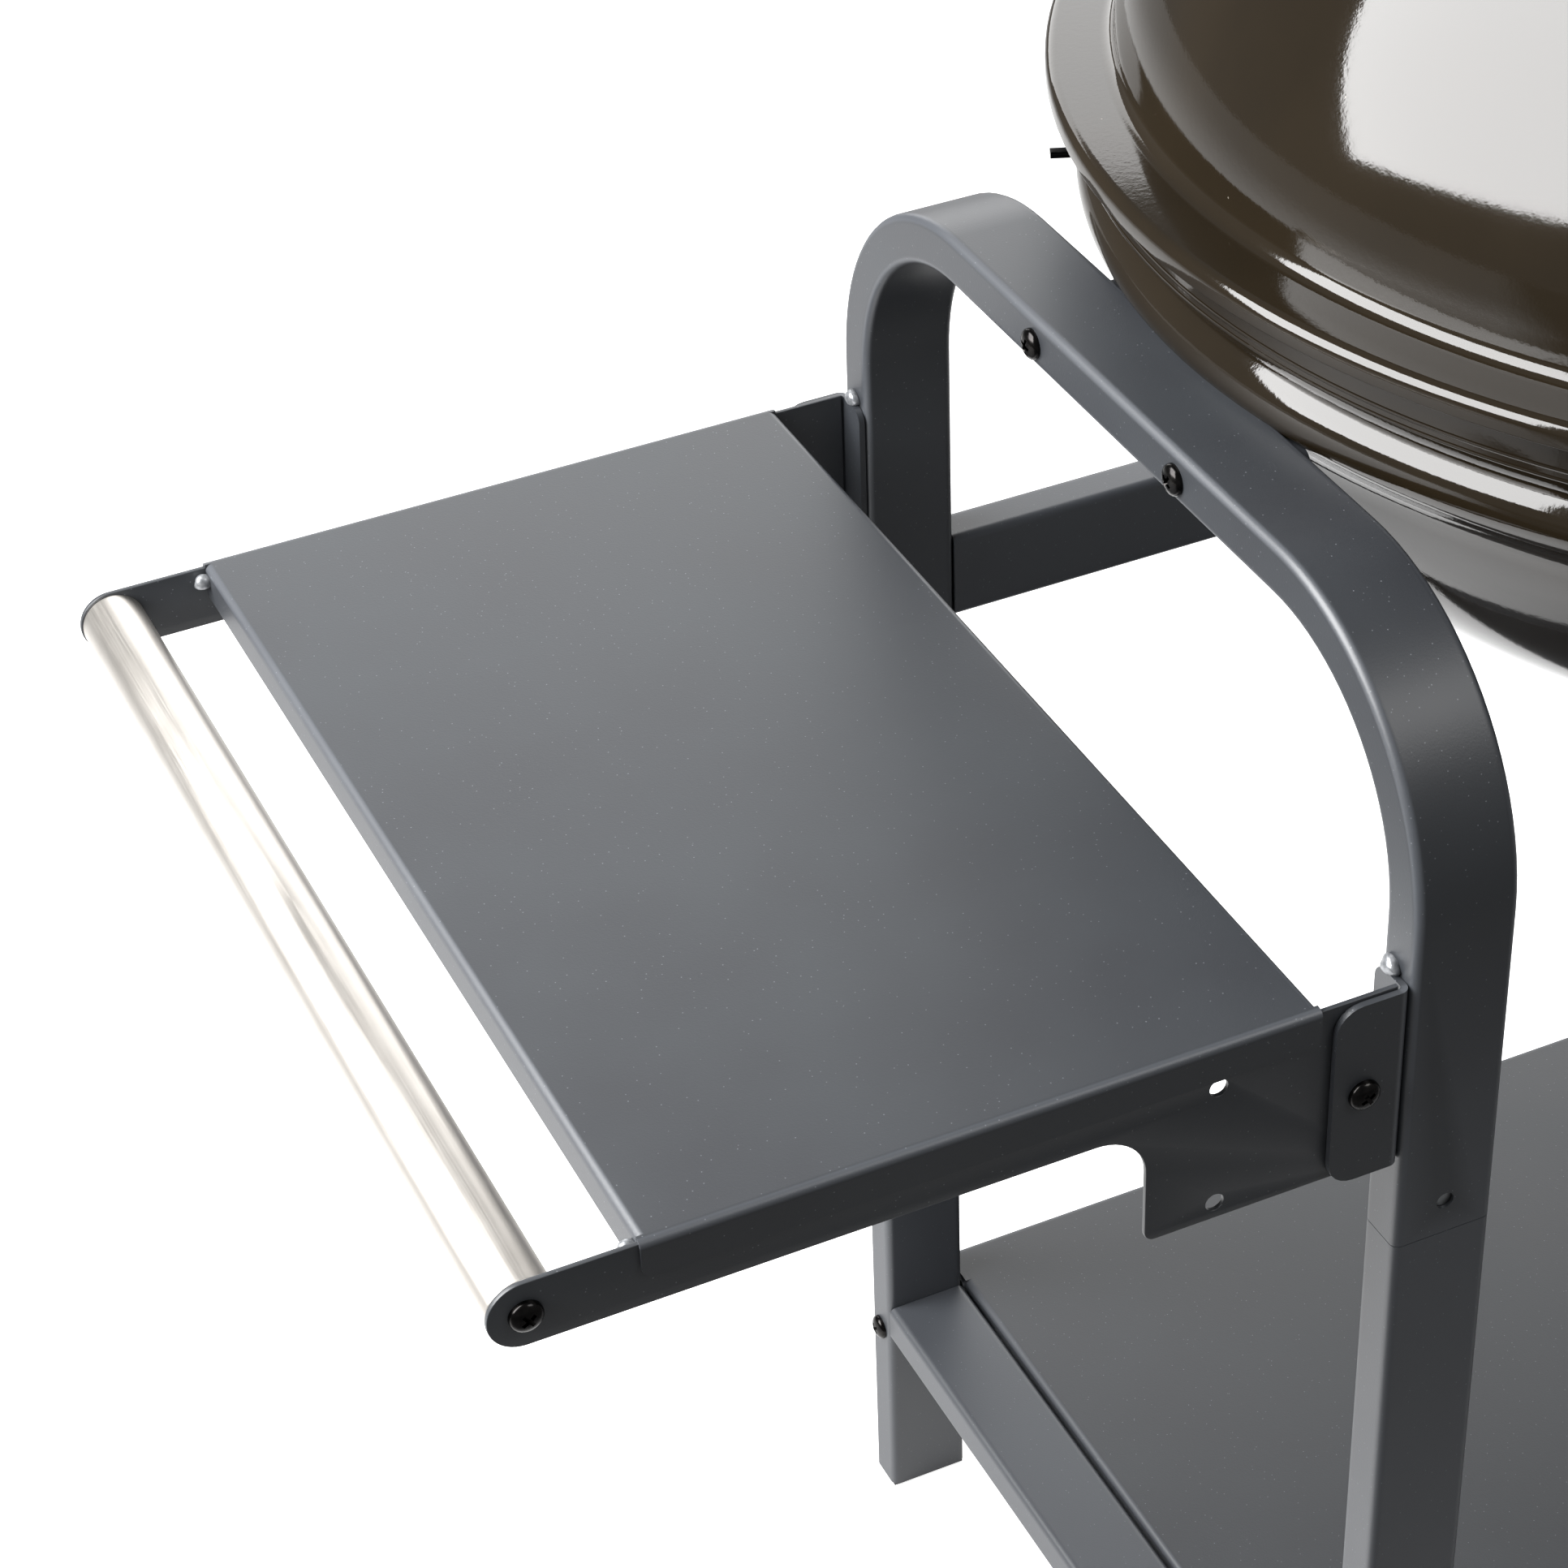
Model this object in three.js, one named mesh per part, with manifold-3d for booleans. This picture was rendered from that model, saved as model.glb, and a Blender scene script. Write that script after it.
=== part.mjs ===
// Kettle charcoal grill on a wheeled tube cart with a side shelf. Millimetres, +Z up, floor at Z = 0.
// Sub-parts are worked out from the kettle's axis, X = Y = 0, with the shelf and its handle at -X, the
// wheels at +X and the front at -Y; addPart then moves them so that the origin is mid-footprint.
import * as THREE from 'three';
import { mergeVertices } from 'three/addons/utils/BufferGeometryUtils.js';
import Module from 'manifold-3d';

const wasm = await Module();
wasm.setup();

const KETTLE_X = 131; // kettle axis from the middle of the footprint
const GAP = 0.3; // clearance between two pieces that touch
const M6 = 3; // shank radius of every screw
const M6_HOLE = 3.3; // clearance hole for a screw

// Cart: two hoops of rectangular tube, each standing on two lower legs.
const CART_X = 338; // kettle axis to a hoop's outer face
const CART_Y = 220; // kettle axis to a leg's front or back face
const TUBE_WIDE = 40;
const TUBE_THIN = 20;
const TUBE_WALL = 1.5;
const HOOP_TOP = 752;
const HOOP_BEND = 100; // outer radius of a hoop's corner
const SPLIT_Z = 515; // joint between hoop and lower leg
const LEG_AXIS_X = CART_X - TUBE_WIDE / 2;
const LEG_AXIS_Y = CART_Y - TUBE_THIN / 2;
const INNER_X = CART_X - TUBE_WIDE; // inner face of a hoop or leg
const INNER_Y = CART_Y - TUBE_THIN;
const SLEEVE_LOW = 475;
const SLEEVE_HIGH = 560;
const LOCK_HOLE_Z = 530;
const LOCK_HOLE_R = 3.5;
const UPPER_BAR_Z = 519; // underside of the rear crossbar
const LOWER_BAR_Z = 84; // underside of the two lower crossbars
const RAIL_Z = 104; // underside of the side rails
const GLIDE_LIP = 1.5; // plastic lip under each long leg
const GLIDE_PLUG_TOP = 14;
const SHORT_LEG_Z = 62; // lower end of the two legs that carry the axle
const SHEET = 1.2;

// Shelf and its handle.
const SHELF_OUT_X = -618;
const SHELF_IN_X = -372;
const SHELF_TOP = 635.5;
const SHELF_Y = 218.5;
const SHELF_SKIRT = 15;
const ARM_THICK = 2;
const ARM_Y = SHELF_Y - SHEET - GAP - ARM_THICK; // inner face of an arm
const HANDLE_X = -657;
const HANDLE_Z = 621;
const HANDLE_R = 12.5;
const ARM_END_R = 14;
const SHELF_SCREW_X = -355;
const SHELF_SCREW_Z = 594;
const BRACKET_THICK = 2.5;

// Kettle.
const BOWL_R = 298;
const BOWL_SHOULDER_Z = 768;
const BOWL_DEPTH = 184; // shoulder to bottom
const BOWL_BOTTOM = BOWL_SHOULDER_Z - BOWL_DEPTH;
const BOWL_FLAT_R = 88; // flat floor that the damper turns on
const BAND_R = 312.5; // upright band above the shoulder
const LID_RIM_R = 318;
const LID_FLANGE_Z = 808;
const DOME_R = 290;
const DOME_BASE_Z = 816;
const DOME_TOP_Z = 1003;
const KETTLE_SEGMENTS = 40;
const KETTLE_BOLT_Y = 53;
const KETTLE_BOLT_Z = 741;
const COOKING_GRATE_Z = 779;
const COOKING_GRATE_R = 299;
const CHARCOAL_GRATE_Z = 662;
const CHARCOAL_GRATE_R = 228;
const VENT_R = 150; // lid vent, distance from the kettle axis
const VENT_TURN = Math.PI / 6; // its bearing, from +X towards +Y

// Running gear.
const WHEEL_R = 90;
const AXLE_R = 6;
const WHEEL_IN_Y = 225;
const WHEEL_OUT_Y = 257;
const ROUND = 24; // sides of the axle, wheels and tyres

const looks = {
  coat: { color: 0x34373b, roughness: 0.55, metalness: 0.25 },
  enamel: { color: 0x1f1c18, roughness: 0.12, metalness: 0.1 },
  steel: { color: 0xc9c7c2, roughness: 0.28, metalness: 1 },
  screw: { color: 0x26262a, roughness: 0.3, metalness: 0.8 },
  rod: { color: 0xb4b4b2, roughness: 0.25, metalness: 1 },
  zinc: { color: 0xa7a9aa, roughness: 0.45, metalness: 1 },
  plastic: { color: 0x1c1c1e, roughness: 0.6, metalness: 0 },
  tyre: { color: 0x141414, roughness: 0.85, metalness: 0 },
};

const group = new THREE.Group();
group.name = 'kettle_grill';

// ---- solids --------------------------------------------------------------------------------------

// A plain closed triangle mesh with shared corners, no slivers of zero area, faces outwards.
function closed(geometry) {
  const bare = new THREE.BufferGeometry();
  bare.setAttribute('position', geometry.getAttribute('position').clone());
  if (geometry.index) bare.setIndex(geometry.index.clone());
  const merged = mergeVertices(bare, 1e-3);
  const index = merged.index.array;
  const kept = [];
  let volume = 0;
  const [a, b, c] = [new THREE.Vector3(), new THREE.Vector3(), new THREE.Vector3()];
  for (let i = 0; i < index.length; i += 3) {
    const [i0, i1, i2] = [index[i], index[i + 1], index[i + 2]];
    if (i0 === i1 || i1 === i2 || i2 === i0) continue;
    kept.push(i0, i1, i2);
    a.fromBufferAttribute(merged.attributes.position, i0);
    b.fromBufferAttribute(merged.attributes.position, i1);
    c.fromBufferAttribute(merged.attributes.position, i2);
    volume += a.dot(b.cross(c));
  }
  if (volume < 0) {
    for (let i = 0; i < kept.length; i += 3) [kept[i + 1], kept[i + 2]] = [kept[i + 2], kept[i + 1]];
  }
  merged.setIndex(kept);
  return merged;
}

function toSolid(geometry) {
  const mesh = closed(geometry);
  return new wasm.Manifold(
    new wasm.Mesh({
      numProp: 3,
      vertProperties: new Float32Array(mesh.attributes.position.array),
      triVerts: new Uint32Array(mesh.index.array),
    }),
  );
}

function toGeometry(solid) {
  const mesh = solid.getMesh();
  const geometry = new THREE.BufferGeometry();
  geometry.setAttribute('position', new THREE.BufferAttribute(new Float32Array(mesh.vertProperties), 3));
  geometry.setIndex(new THREE.BufferAttribute(new Uint32Array(mesh.triVerts), 1));
  return geometry;
}

function cut(body, ...tools) {
  return toGeometry(tools.reduce((left, tool) => left.subtract(toSolid(tool)), toSolid(body)));
}

function join(first, ...others) {
  return toGeometry(others.reduce((whole, other) => whole.add(toSolid(other)), toSolid(first)));
}

function addPart(name, geometry, look) {
  const placed = closed(geometry).translate(KETTLE_X, 0, 0);
  const mesh = new THREE.Mesh(placed, new THREE.MeshStandardMaterial(look));
  mesh.name = name;
  group.add(mesh);
}

// ---- shapes --------------------------------------------------------------------------------------

function box(x0, x1, y0, y1, z0, z1) {
  const geometry = new THREE.BoxGeometry(x1 - x0, y1 - y0, z1 - z0);
  return geometry.translate((x0 + x1) / 2, (y0 + y1) / 2, (z0 + z1) / 2);
}

// Cylinder from `start`, `length` long, along 'x', 'y' or 'z'.
function rod(radius, length, axis, start, sides = 8) {
  const geometry = new THREE.CylinderGeometry(radius, radius, length, sides);
  geometry.translate(0, length / 2, 0);
  if (axis === 'x') geometry.rotateZ(-Math.PI / 2);
  if (axis === 'z') geometry.rotateX(Math.PI / 2);
  return geometry.translate(...start);
}

// Turned shape about +Z: points are [radius, height], from the axis back to the axis or round a loop.
function turned(points, sides) {
  const outline = points.map(([r, z]) => new THREE.Vector2(r, z));
  return closed(new THREE.LatheGeometry(outline, sides).rotateX(Math.PI / 2));
}

// Outline in Y and Z, drawn out along X.
function drawnAlongX(shape, x0, x1, curveSegments = 7) {
  const geometry = new THREE.ExtrudeGeometry(shape, { depth: x1 - x0, bevelEnabled: false, curveSegments });
  const toYz = new THREE.Matrix4().makeBasis(
    new THREE.Vector3(0, 1, 0),
    new THREE.Vector3(0, 0, 1),
    new THREE.Vector3(1, 0, 0),
  );
  return geometry.applyMatrix4(toYz).translate(x0, 0, 0);
}

// Outline in X and Z, drawn out along Y.
function drawnAlongY(shape, y0, y1, curveSegments = 6) {
  const geometry = new THREE.ExtrudeGeometry(shape, { depth: y1 - y0, bevelEnabled: false, curveSegments });
  return geometry.rotateX(Math.PI / 2).translate(0, y1, 0);
}

// Straight rectangular tube, open at both ends of `axis`; `plates` closes the ends with drilled plates.
function squareTube(low, high, axis, plates = 0) {
  const outer = box(low[0], high[0], low[1], high[1], low[2], high[2]);
  const inside = [0, 1, 2].map((i) => {
    const wall = i === axis ? plates || -1 : TUBE_WALL;
    return [low[i] + wall, high[i] - wall];
  });
  return cut(outer, box(...inside[0], ...inside[1], ...inside[2]));
}

// ---- hoops, legs and their joints ----------------------------------------------------------------

// Outline of an upturned U of outer half width `half`, leg depth `depth`.
function hoopOutline(half, top, bend, depth, low) {
  const shape = new THREE.Shape();
  shape.moveTo(-half, low);
  shape.lineTo(-half, top - bend);
  shape.absarc(-half + bend, top - bend, bend, Math.PI, Math.PI / 2, true);
  shape.absarc(half - bend, top - bend, bend, Math.PI / 2, 0, true);
  shape.lineTo(half, low);
  shape.lineTo(half - depth, low);
  shape.lineTo(half - depth, top - bend);
  shape.absarc(half - bend, top - bend, bend - depth, 0, Math.PI / 2, false);
  shape.absarc(-half + bend, top - bend, bend - depth, Math.PI / 2, Math.PI, false);
  shape.lineTo(-half + depth, low);
  return shape;
}

const hoopLow = SPLIT_Z + GAP;
for (const [side, name] of [[-1, 'left'], [1, 'right']]) {
  const x0 = Math.min(side * CART_X, side * INNER_X);
  const outer = drawnAlongX(hoopOutline(CART_Y, HOOP_TOP, HOOP_BEND, TUBE_THIN, hoopLow), x0, x0 + TUBE_WIDE);
  const bore = hoopOutline(
    CART_Y - TUBE_WALL,
    HOOP_TOP - TUBE_WALL,
    HOOP_BEND - TUBE_WALL,
    TUBE_THIN - 2 * TUBE_WALL,
    hoopLow - 1,
  );
  const hollow = drawnAlongX(bore, x0 + TUBE_WALL, x0 + TUBE_WIDE - TUBE_WALL);
  const boltHoles = [-KETTLE_BOLT_Y, KETTLE_BOLT_Y].map((y) =>
    rod(M6_HOLE, TUBE_WIDE + 2, 'x', [x0 - 1, y, KETTLE_BOLT_Z]));
  const barHole = rod(M6_HOLE, TUBE_WIDE + 2, 'x', [x0 - 1, LEG_AXIS_Y, UPPER_BAR_Z + TUBE_WIDE / 2]);
  const lockHole = rod(LOCK_HOLE_R, TUBE_WALL + 1, 'y', [side * LEG_AXIS_X, -CART_Y - 0.5, LOCK_HOLE_Z]);
  addPart(`${name}_hoop`, cut(outer, hollow, ...boltHoles, barHole, lockHole), looks.coat);
}

// Lower legs: the left pair stands on the floor, the shorter right pair carries the axle.
for (const [sideX, nameX] of [[-1, 'left'], [1, 'right']]) {
  for (const [sideY, nameY] of [[-1, 'front'], [1, 'back']]) {
    const cx = sideX * LEG_AXIS_X;
    const cy = sideY * LEG_AXIS_Y;
    const low = sideX < 0 ? GLIDE_LIP : SHORT_LEG_Z;
    const [w, t] = [TUBE_WIDE / 2, TUBE_THIN / 2];
    const tube = squareTube([cx - w, cy - t, low], [cx + w, cy + t, SPLIT_Z], 2);
    const barHole = rod(M6_HOLE, TUBE_WIDE + 2, 'x', [cx - w - 1, cy, LOWER_BAR_Z + TUBE_WIDE / 2]);
    const axleHole = rod(AXLE_R + GAP, TUBE_THIN + 2, 'y', [cx, cy - t - 1, WHEEL_R], ROUND);
    const holes = sideX < 0 ? [barHole] : [barHole, axleHole];
    addPart(`${nameX}_${nameY}_leg`, cut(tube, ...holes), looks.coat);

    // Inner sleeve that lines the hoop up with the leg.
    const [sw, st] = [w - TUBE_WALL - GAP, t - TUBE_WALL - GAP];
    const sleeve = squareTube([cx - sw, cy - st, SLEEVE_LOW], [cx + sw, cy + st, SLEEVE_HIGH], 2);
    const sleeveHole = rod(M6_HOLE, TUBE_WIDE, 'x', [cx - w, cy, UPPER_BAR_Z + TUBE_WIDE / 2]);
    addPart(`${nameX}_${nameY}_sleeve`, sideY > 0 ? cut(sleeve, sleeveHole) : sleeve, looks.zinc);

    // Moulded glide pressed into the foot of each long leg.
    if (sideX < 0) {
      const plug = join(
        box(cx - w + 1, cx + w - 1, cy - t + 1, cy + t - 1, 0, GLIDE_LIP - GAP),
        box(cx - sw, cx + sw, cy - st, cy + st, 0, GLIDE_PLUG_TOP),
      );
      addPart(`${nameX}_${nameY}_glide`, plug, looks.plastic);
    }
  }
}

// ---- crossbars, rails and tray -------------------------------------------------------------------

// Bars between the hoops have a drilled plate in each end that the screws bite into.
const barEnd = INNER_X - GAP;
const END_PLATE = 3;
const bars = [
  ['rear_crossbar', 1, UPPER_BAR_Z],
  ['lower_back_crossbar', 1, LOWER_BAR_Z],
  ['lower_front_crossbar', -1, LOWER_BAR_Z],
];
for (const [name, side, low] of bars) {
  const cy = side * LEG_AXIS_Y;
  const t = TUBE_THIN / 2;
  const tube = squareTube([-barEnd, cy - t, low], [barEnd, cy + t, low + TUBE_WIDE], 0, END_PLATE);
  const hole = rod(M6_HOLE, 2 * barEnd + 2, 'x', [-barEnd - 1, cy, low + TUBE_WIDE / 2]);
  addPart(name, cut(tube, hole), looks.coat);
}

for (const [side, name] of [[-1, 'left'], [1, 'right']]) {
  const cx = side * LEG_AXIS_X;
  const low = [cx - TUBE_WIDE / 2, -INNER_Y + GAP, RAIL_Z];
  const high = [cx + TUBE_WIDE / 2, INNER_Y - GAP, RAIL_Z + TUBE_THIN];
  addPart(`${name}_rail`, squareTube(low, high, 1), looks.coat);
}

// Tray: a sheet pan turned upside down over the two lower crossbars.
const TRAY_TOP = RAIL_Z + TUBE_THIN + 2;
const TRAY_X = INNER_X - 1.5;
const TRAY_Y = CART_Y + GAP + SHEET;
const TRAY_SKIRT = 14;
addPart(
  'bottom_tray',
  cut(
    box(-TRAY_X, TRAY_X, -TRAY_Y, TRAY_Y, TRAY_TOP - TRAY_SKIRT, TRAY_TOP),
    box(
      -TRAY_X + SHEET,
      TRAY_X - SHEET,
      -TRAY_Y + SHEET,
      TRAY_Y - SHEET,
      TRAY_TOP - TRAY_SKIRT - 1,
      TRAY_TOP - SHEET,
    ),
    box(-TRAY_X - 1, TRAY_X + 1, INNER_Y - 1, CART_Y + GAP, TRAY_TOP - TRAY_SKIRT - 1, TRAY_TOP - SHEET),
    box(-TRAY_X - 1, TRAY_X + 1, -CART_Y - GAP, -INNER_Y + 1, TRAY_TOP - TRAY_SKIRT - 1, TRAY_TOP - SHEET),
  ),
  looks.coat,
);

// ---- shelf ---------------------------------------------------------------------------------------

// Folded sheet; its end skirts stop short of the two arms that pass beneath the top.
const shelfLow = SHELF_TOP - SHELF_SKIRT;
const armSlots = [-1, 1].map((side) => {
  const inner = side * (ARM_Y - GAP);
  const outer = side * (SHELF_Y - SHEET);
  return box(
    SHELF_OUT_X - 1,
    SHELF_IN_X + 1,
    Math.min(inner, outer),
    Math.max(inner, outer),
    shelfLow - 1,
    SHELF_TOP - SHEET,
  );
});
addPart(
  'shelf_top',
  cut(
    box(SHELF_OUT_X, SHELF_IN_X, -SHELF_Y, SHELF_Y, shelfLow, SHELF_TOP),
    box(
      SHELF_OUT_X + SHEET,
      SHELF_IN_X - SHEET,
      -SHELF_Y + SHEET,
      SHELF_Y - SHEET,
      shelfLow - 1,
      SHELF_TOP - SHEET,
    ),
    ...armSlots,
  ),
  looks.coat,
);

// Arm plate: slim strip to the handle, deep end at the cart with a round-cornered step between them.
const ARM_TOP = SHELF_TOP - SHEET - GAP;
const ARM_LOW = HANDLE_Z - ARM_END_R;
const ARM_DEEP = 558;
const ARM_STEP_X = -437;
const ARM_STEP_R = 19;
const ARM_END_X = -342;
const ARM_HOLE_X = -410;
const ARM_CORNER_R = 4;
const ARM_HOLE_HIGH = 616;
const ARM_HOLE_LOW = 565;
function armOutline() {
  const shape = new THREE.Shape();
  const cornerX = ARM_STEP_X + ARM_CORNER_R;
  const cornerZ = ARM_DEEP + ARM_CORNER_R;
  shape.moveTo(ARM_END_X, ARM_TOP);
  shape.lineTo(HANDLE_X, ARM_TOP);
  shape.absarc(HANDLE_X, HANDLE_Z, ARM_TOP - HANDLE_Z, Math.PI / 2, (3 * Math.PI) / 2, false);
  shape.lineTo(ARM_STEP_X - ARM_STEP_R, HANDLE_Z - (ARM_TOP - HANDLE_Z));
  const stepTop = HANDLE_Z - (ARM_TOP - HANDLE_Z);
  shape.absarc(ARM_STEP_X - ARM_STEP_R, stepTop - ARM_STEP_R, ARM_STEP_R, Math.PI / 2, 0, true);
  shape.lineTo(ARM_STEP_X, cornerZ);
  shape.absarc(cornerX, cornerZ, ARM_CORNER_R, Math.PI, 1.5 * Math.PI, false);
  shape.lineTo(ARM_END_X, ARM_DEEP);
  const holes = [
    [HANDLE_X, HANDLE_Z, M6_HOLE],
    [SHELF_SCREW_X, SHELF_SCREW_Z, M6_HOLE],
    [ARM_HOLE_X, ARM_HOLE_HIGH, LOCK_HOLE_R],
    [ARM_HOLE_X, ARM_HOLE_LOW, LOCK_HOLE_R],
  ];
  for (const [x, z, r] of holes) {
    const hole = new THREE.Path();
    hole.absarc(x, z, r, 0, 2 * Math.PI, true);
    shape.holes.push(hole);
  }
  return shape;
}

// Shelf bracket: an outer flange over the arm and a web against the leg, outer corners rounded.
const BRACKET_LOW = 556;
const BRACKET_TOP = 633;
const BRACKET_OUT_X = -367;
const BRACKET_CORNER_R = 10;
const WEB_X = -CART_X - GAP;
function flangeOutline() {
  const shape = new THREE.Shape();
  shape.moveTo(WEB_X, BRACKET_LOW);
  shape.lineTo(WEB_X, BRACKET_TOP);
  shape.lineTo(BRACKET_OUT_X + BRACKET_CORNER_R, BRACKET_TOP);
  shape.absarc(
    BRACKET_OUT_X + BRACKET_CORNER_R,
    BRACKET_TOP - BRACKET_CORNER_R,
    BRACKET_CORNER_R,
    Math.PI / 2,
    Math.PI,
    false,
  );
  shape.lineTo(BRACKET_OUT_X, BRACKET_LOW + BRACKET_CORNER_R);
  shape.absarc(
    BRACKET_OUT_X + BRACKET_CORNER_R,
    BRACKET_LOW + BRACKET_CORNER_R,
    BRACKET_CORNER_R,
    Math.PI,
    1.5 * Math.PI,
    false,
  );
  const hole = new THREE.Path();
  hole.absarc(SHELF_SCREW_X, SHELF_SCREW_Z, M6_HOLE, 0, 2 * Math.PI, true);
  shape.holes.push(hole);
  return shape;
}

for (const [side, name] of [[-1, 'front'], [1, 'back']]) {
  const armFaces = [side * ARM_Y, side * (ARM_Y + ARM_THICK)].sort((a, b) => a - b);
  addPart(`shelf_arm_${name}`, drawnAlongY(armOutline(), ...armFaces), looks.coat);

  const flangeIn = ARM_Y + ARM_THICK + GAP;
  const flangeFaces = [side * flangeIn, side * (flangeIn + BRACKET_THICK)].sort((a, b) => a - b);
  const webFaces = [side * (INNER_Y + 0.5), side * (flangeIn + BRACKET_THICK)].sort((a, b) => a - b);
  const web = box(WEB_X - BRACKET_THICK, WEB_X, ...webFaces, BRACKET_LOW, BRACKET_TOP);
  addPart(`shelf_bracket_${name}`, join(drawnAlongY(flangeOutline(), ...flangeFaces), web), looks.coat);
}

// Handle: polished tube with a drilled plate in each end.
const handleEnd = ARM_Y - GAP;
const handleSides = 20;
const HANDLE_PLUG = 4;
const handleBore = 2 * (handleEnd - HANDLE_PLUG);
addPart(
  'handle_bar',
  cut(
    rod(HANDLE_R, 2 * handleEnd, 'y', [HANDLE_X, -handleEnd, HANDLE_Z], handleSides),
    rod(HANDLE_R - TUBE_WALL, handleBore, 'y', [HANDLE_X, HANDLE_PLUG - handleEnd, HANDLE_Z], handleSides),
    rod(M6_HOLE, 2 * handleEnd + 2, 'y', [HANDLE_X, -handleEnd - 1, HANDLE_Z]),
  ),
  looks.steel,
);

// ---- kettle bowl and what hangs under it ---------------------------------------------------------

// Outer wall of the bowl, axis to rim, grown by `grow` along the wall.
function bowlWall(grow) {
  const points = [[0, BOWL_BOTTOM - grow], [BOWL_FLAT_R, BOWL_BOTTOM - grow]];
  const steps = 9;
  for (let i = 1; i <= steps; i += 1) {
    const start = Math.asin(BOWL_FLAT_R / BOWL_R);
    const angle = start + ((Math.PI / 2 - start) * i) / steps;
    const floor = 1 / Math.cos(start);
    const rise = 1 - Math.cos(angle) * floor;
    points.push([(BOWL_R + grow) * Math.sin(angle), BOWL_BOTTOM - grow + (BOWL_DEPTH + grow) * rise]);
  }
  return points;
}

const RIM_Z = 804.5;
const bandLow = BOWL_SHOULDER_Z + 15;
const bowlOuter = [
  ...bowlWall(0),
  [BOWL_R + 3, BOWL_SHOULDER_Z + 6],
  [BAND_R - 2, bandLow - 3],
  [BAND_R, bandLow],
  [BAND_R, RIM_Z],
];
const bowlInner = [
  [BAND_R - SHEET, RIM_Z],
  [BAND_R - SHEET, bandLow],
  [BAND_R - 3, bandLow - 2.2],
  [BOWL_R + 2.2, BOWL_SHOULDER_Z + 6.8],
  ...bowlWall(-SHEET).reverse(),
];

// Three air slots in the floor of the bowl, matched by three in the damper that turns over them.
const SLOT_IN_R = 30;
const SLOT_OUT_R = 72;
const SLOT_SWEEP = Math.PI / 4;
function airSlots(z0, z1) {
  return [0, 1, 2].map((i) => {
    const from = (i * 2 * Math.PI) / 3 - SLOT_SWEEP / 2;
    const shape = new THREE.Shape();
    shape.absarc(0, 0, SLOT_OUT_R, from, from + SLOT_SWEEP, false);
    shape.absarc(0, 0, SLOT_IN_R, from + SLOT_SWEEP, from, true);
    const drawn = { depth: z1 - z0, bevelEnabled: false, curveSegments: 4 };
    return new THREE.ExtrudeGeometry(shape, drawn).translate(0, 0, z0);
  });
}

const STEM_R = 5;
addPart(
  'kettle_bowl',
  cut(
    turned([...bowlOuter, ...bowlInner], KETTLE_SEGMENTS),
    ...airSlots(BOWL_BOTTOM - 3, BOWL_BOTTOM + 5),
    rod(STEM_R + GAP, 10, 'z', [0, 0, BOWL_BOTTOM - 5], 12),
  ),
  looks.enamel,
);

const damperLow = BOWL_BOTTOM + SHEET + GAP;
const DAMPER_R = 80;
const STEM_DROP = 25; // stem below the disc
addPart(
  'damper_disc',
  cut(
    join(
      rod(DAMPER_R, SHEET, 'z', [0, 0, damperLow], ROUND),
      rod(STEM_R, STEM_DROP + 1, 'z', [0, 0, damperLow - STEM_DROP], 12),
    ),
    ...airSlots(damperLow - 1, damperLow + 4),
  ),
  looks.zinc,
);

// Lever: a flat bar clamped under the stem, reaching out through the collar's slot at the front.
const LEVER_THICK = 4;
const LEVER_WIDE = 14;
const LEVER_OUT = 150; // kettle axis to the grip
const GRIP_R = 9;
const GRIP_LONG = 24;
const LEVER_Z = damperLow - STEM_DROP - GAP - LEVER_THICK;
addPart(
  'damper_lever',
  join(
    box(-LEVER_WIDE / 2, LEVER_WIDE / 2, -LEVER_OUT, STEM_R + 3, LEVER_Z, LEVER_Z + LEVER_THICK),
    rod(GRIP_R, GRIP_LONG, 'y', [0, -LEVER_OUT - GRIP_LONG + 2, LEVER_Z + LEVER_THICK / 2]),
  ),
  looks.steel,
);

const COLLAR_R = 98;
const COLLAR_LOW = BOWL_BOTTOM - 44;
const collarTop = BOWL_BOTTOM - SHEET;
const collarIn = COLLAR_R - SHEET;
addPart(
  'ash_collar',
  cut(
    turned(
      [
        [collarIn, COLLAR_LOW],
        [COLLAR_R, COLLAR_LOW],
        [COLLAR_R, collarTop],
        [collarIn, collarTop],
        [collarIn, COLLAR_LOW],
      ],
      28,
    ),
    box(-DAMPER_R, DAMPER_R, -COLLAR_R - 5, 0, LEVER_Z - 3, LEVER_Z + 8), // the lever's slot
  ),
  looks.zinc,
);

const CAN_R = COLLAR_R - SHEET - 1;
const CAN_LOW = 500;
const CAN_TOP = LEVER_Z - 6;
addPart(
  'ash_can',
  turned(
    [
      [0, CAN_LOW],
      [CAN_R - 6, CAN_LOW],
      [CAN_R, CAN_LOW + 6],
      [CAN_R, CAN_TOP],
      [CAN_R - SHEET, CAN_TOP],
      [CAN_R - SHEET, CAN_LOW + 7],
      [CAN_R - 7, CAN_LOW + SHEET],
      [0, CAN_LOW + SHEET],
    ],
    28,
  ),
  looks.zinc,
);

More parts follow.
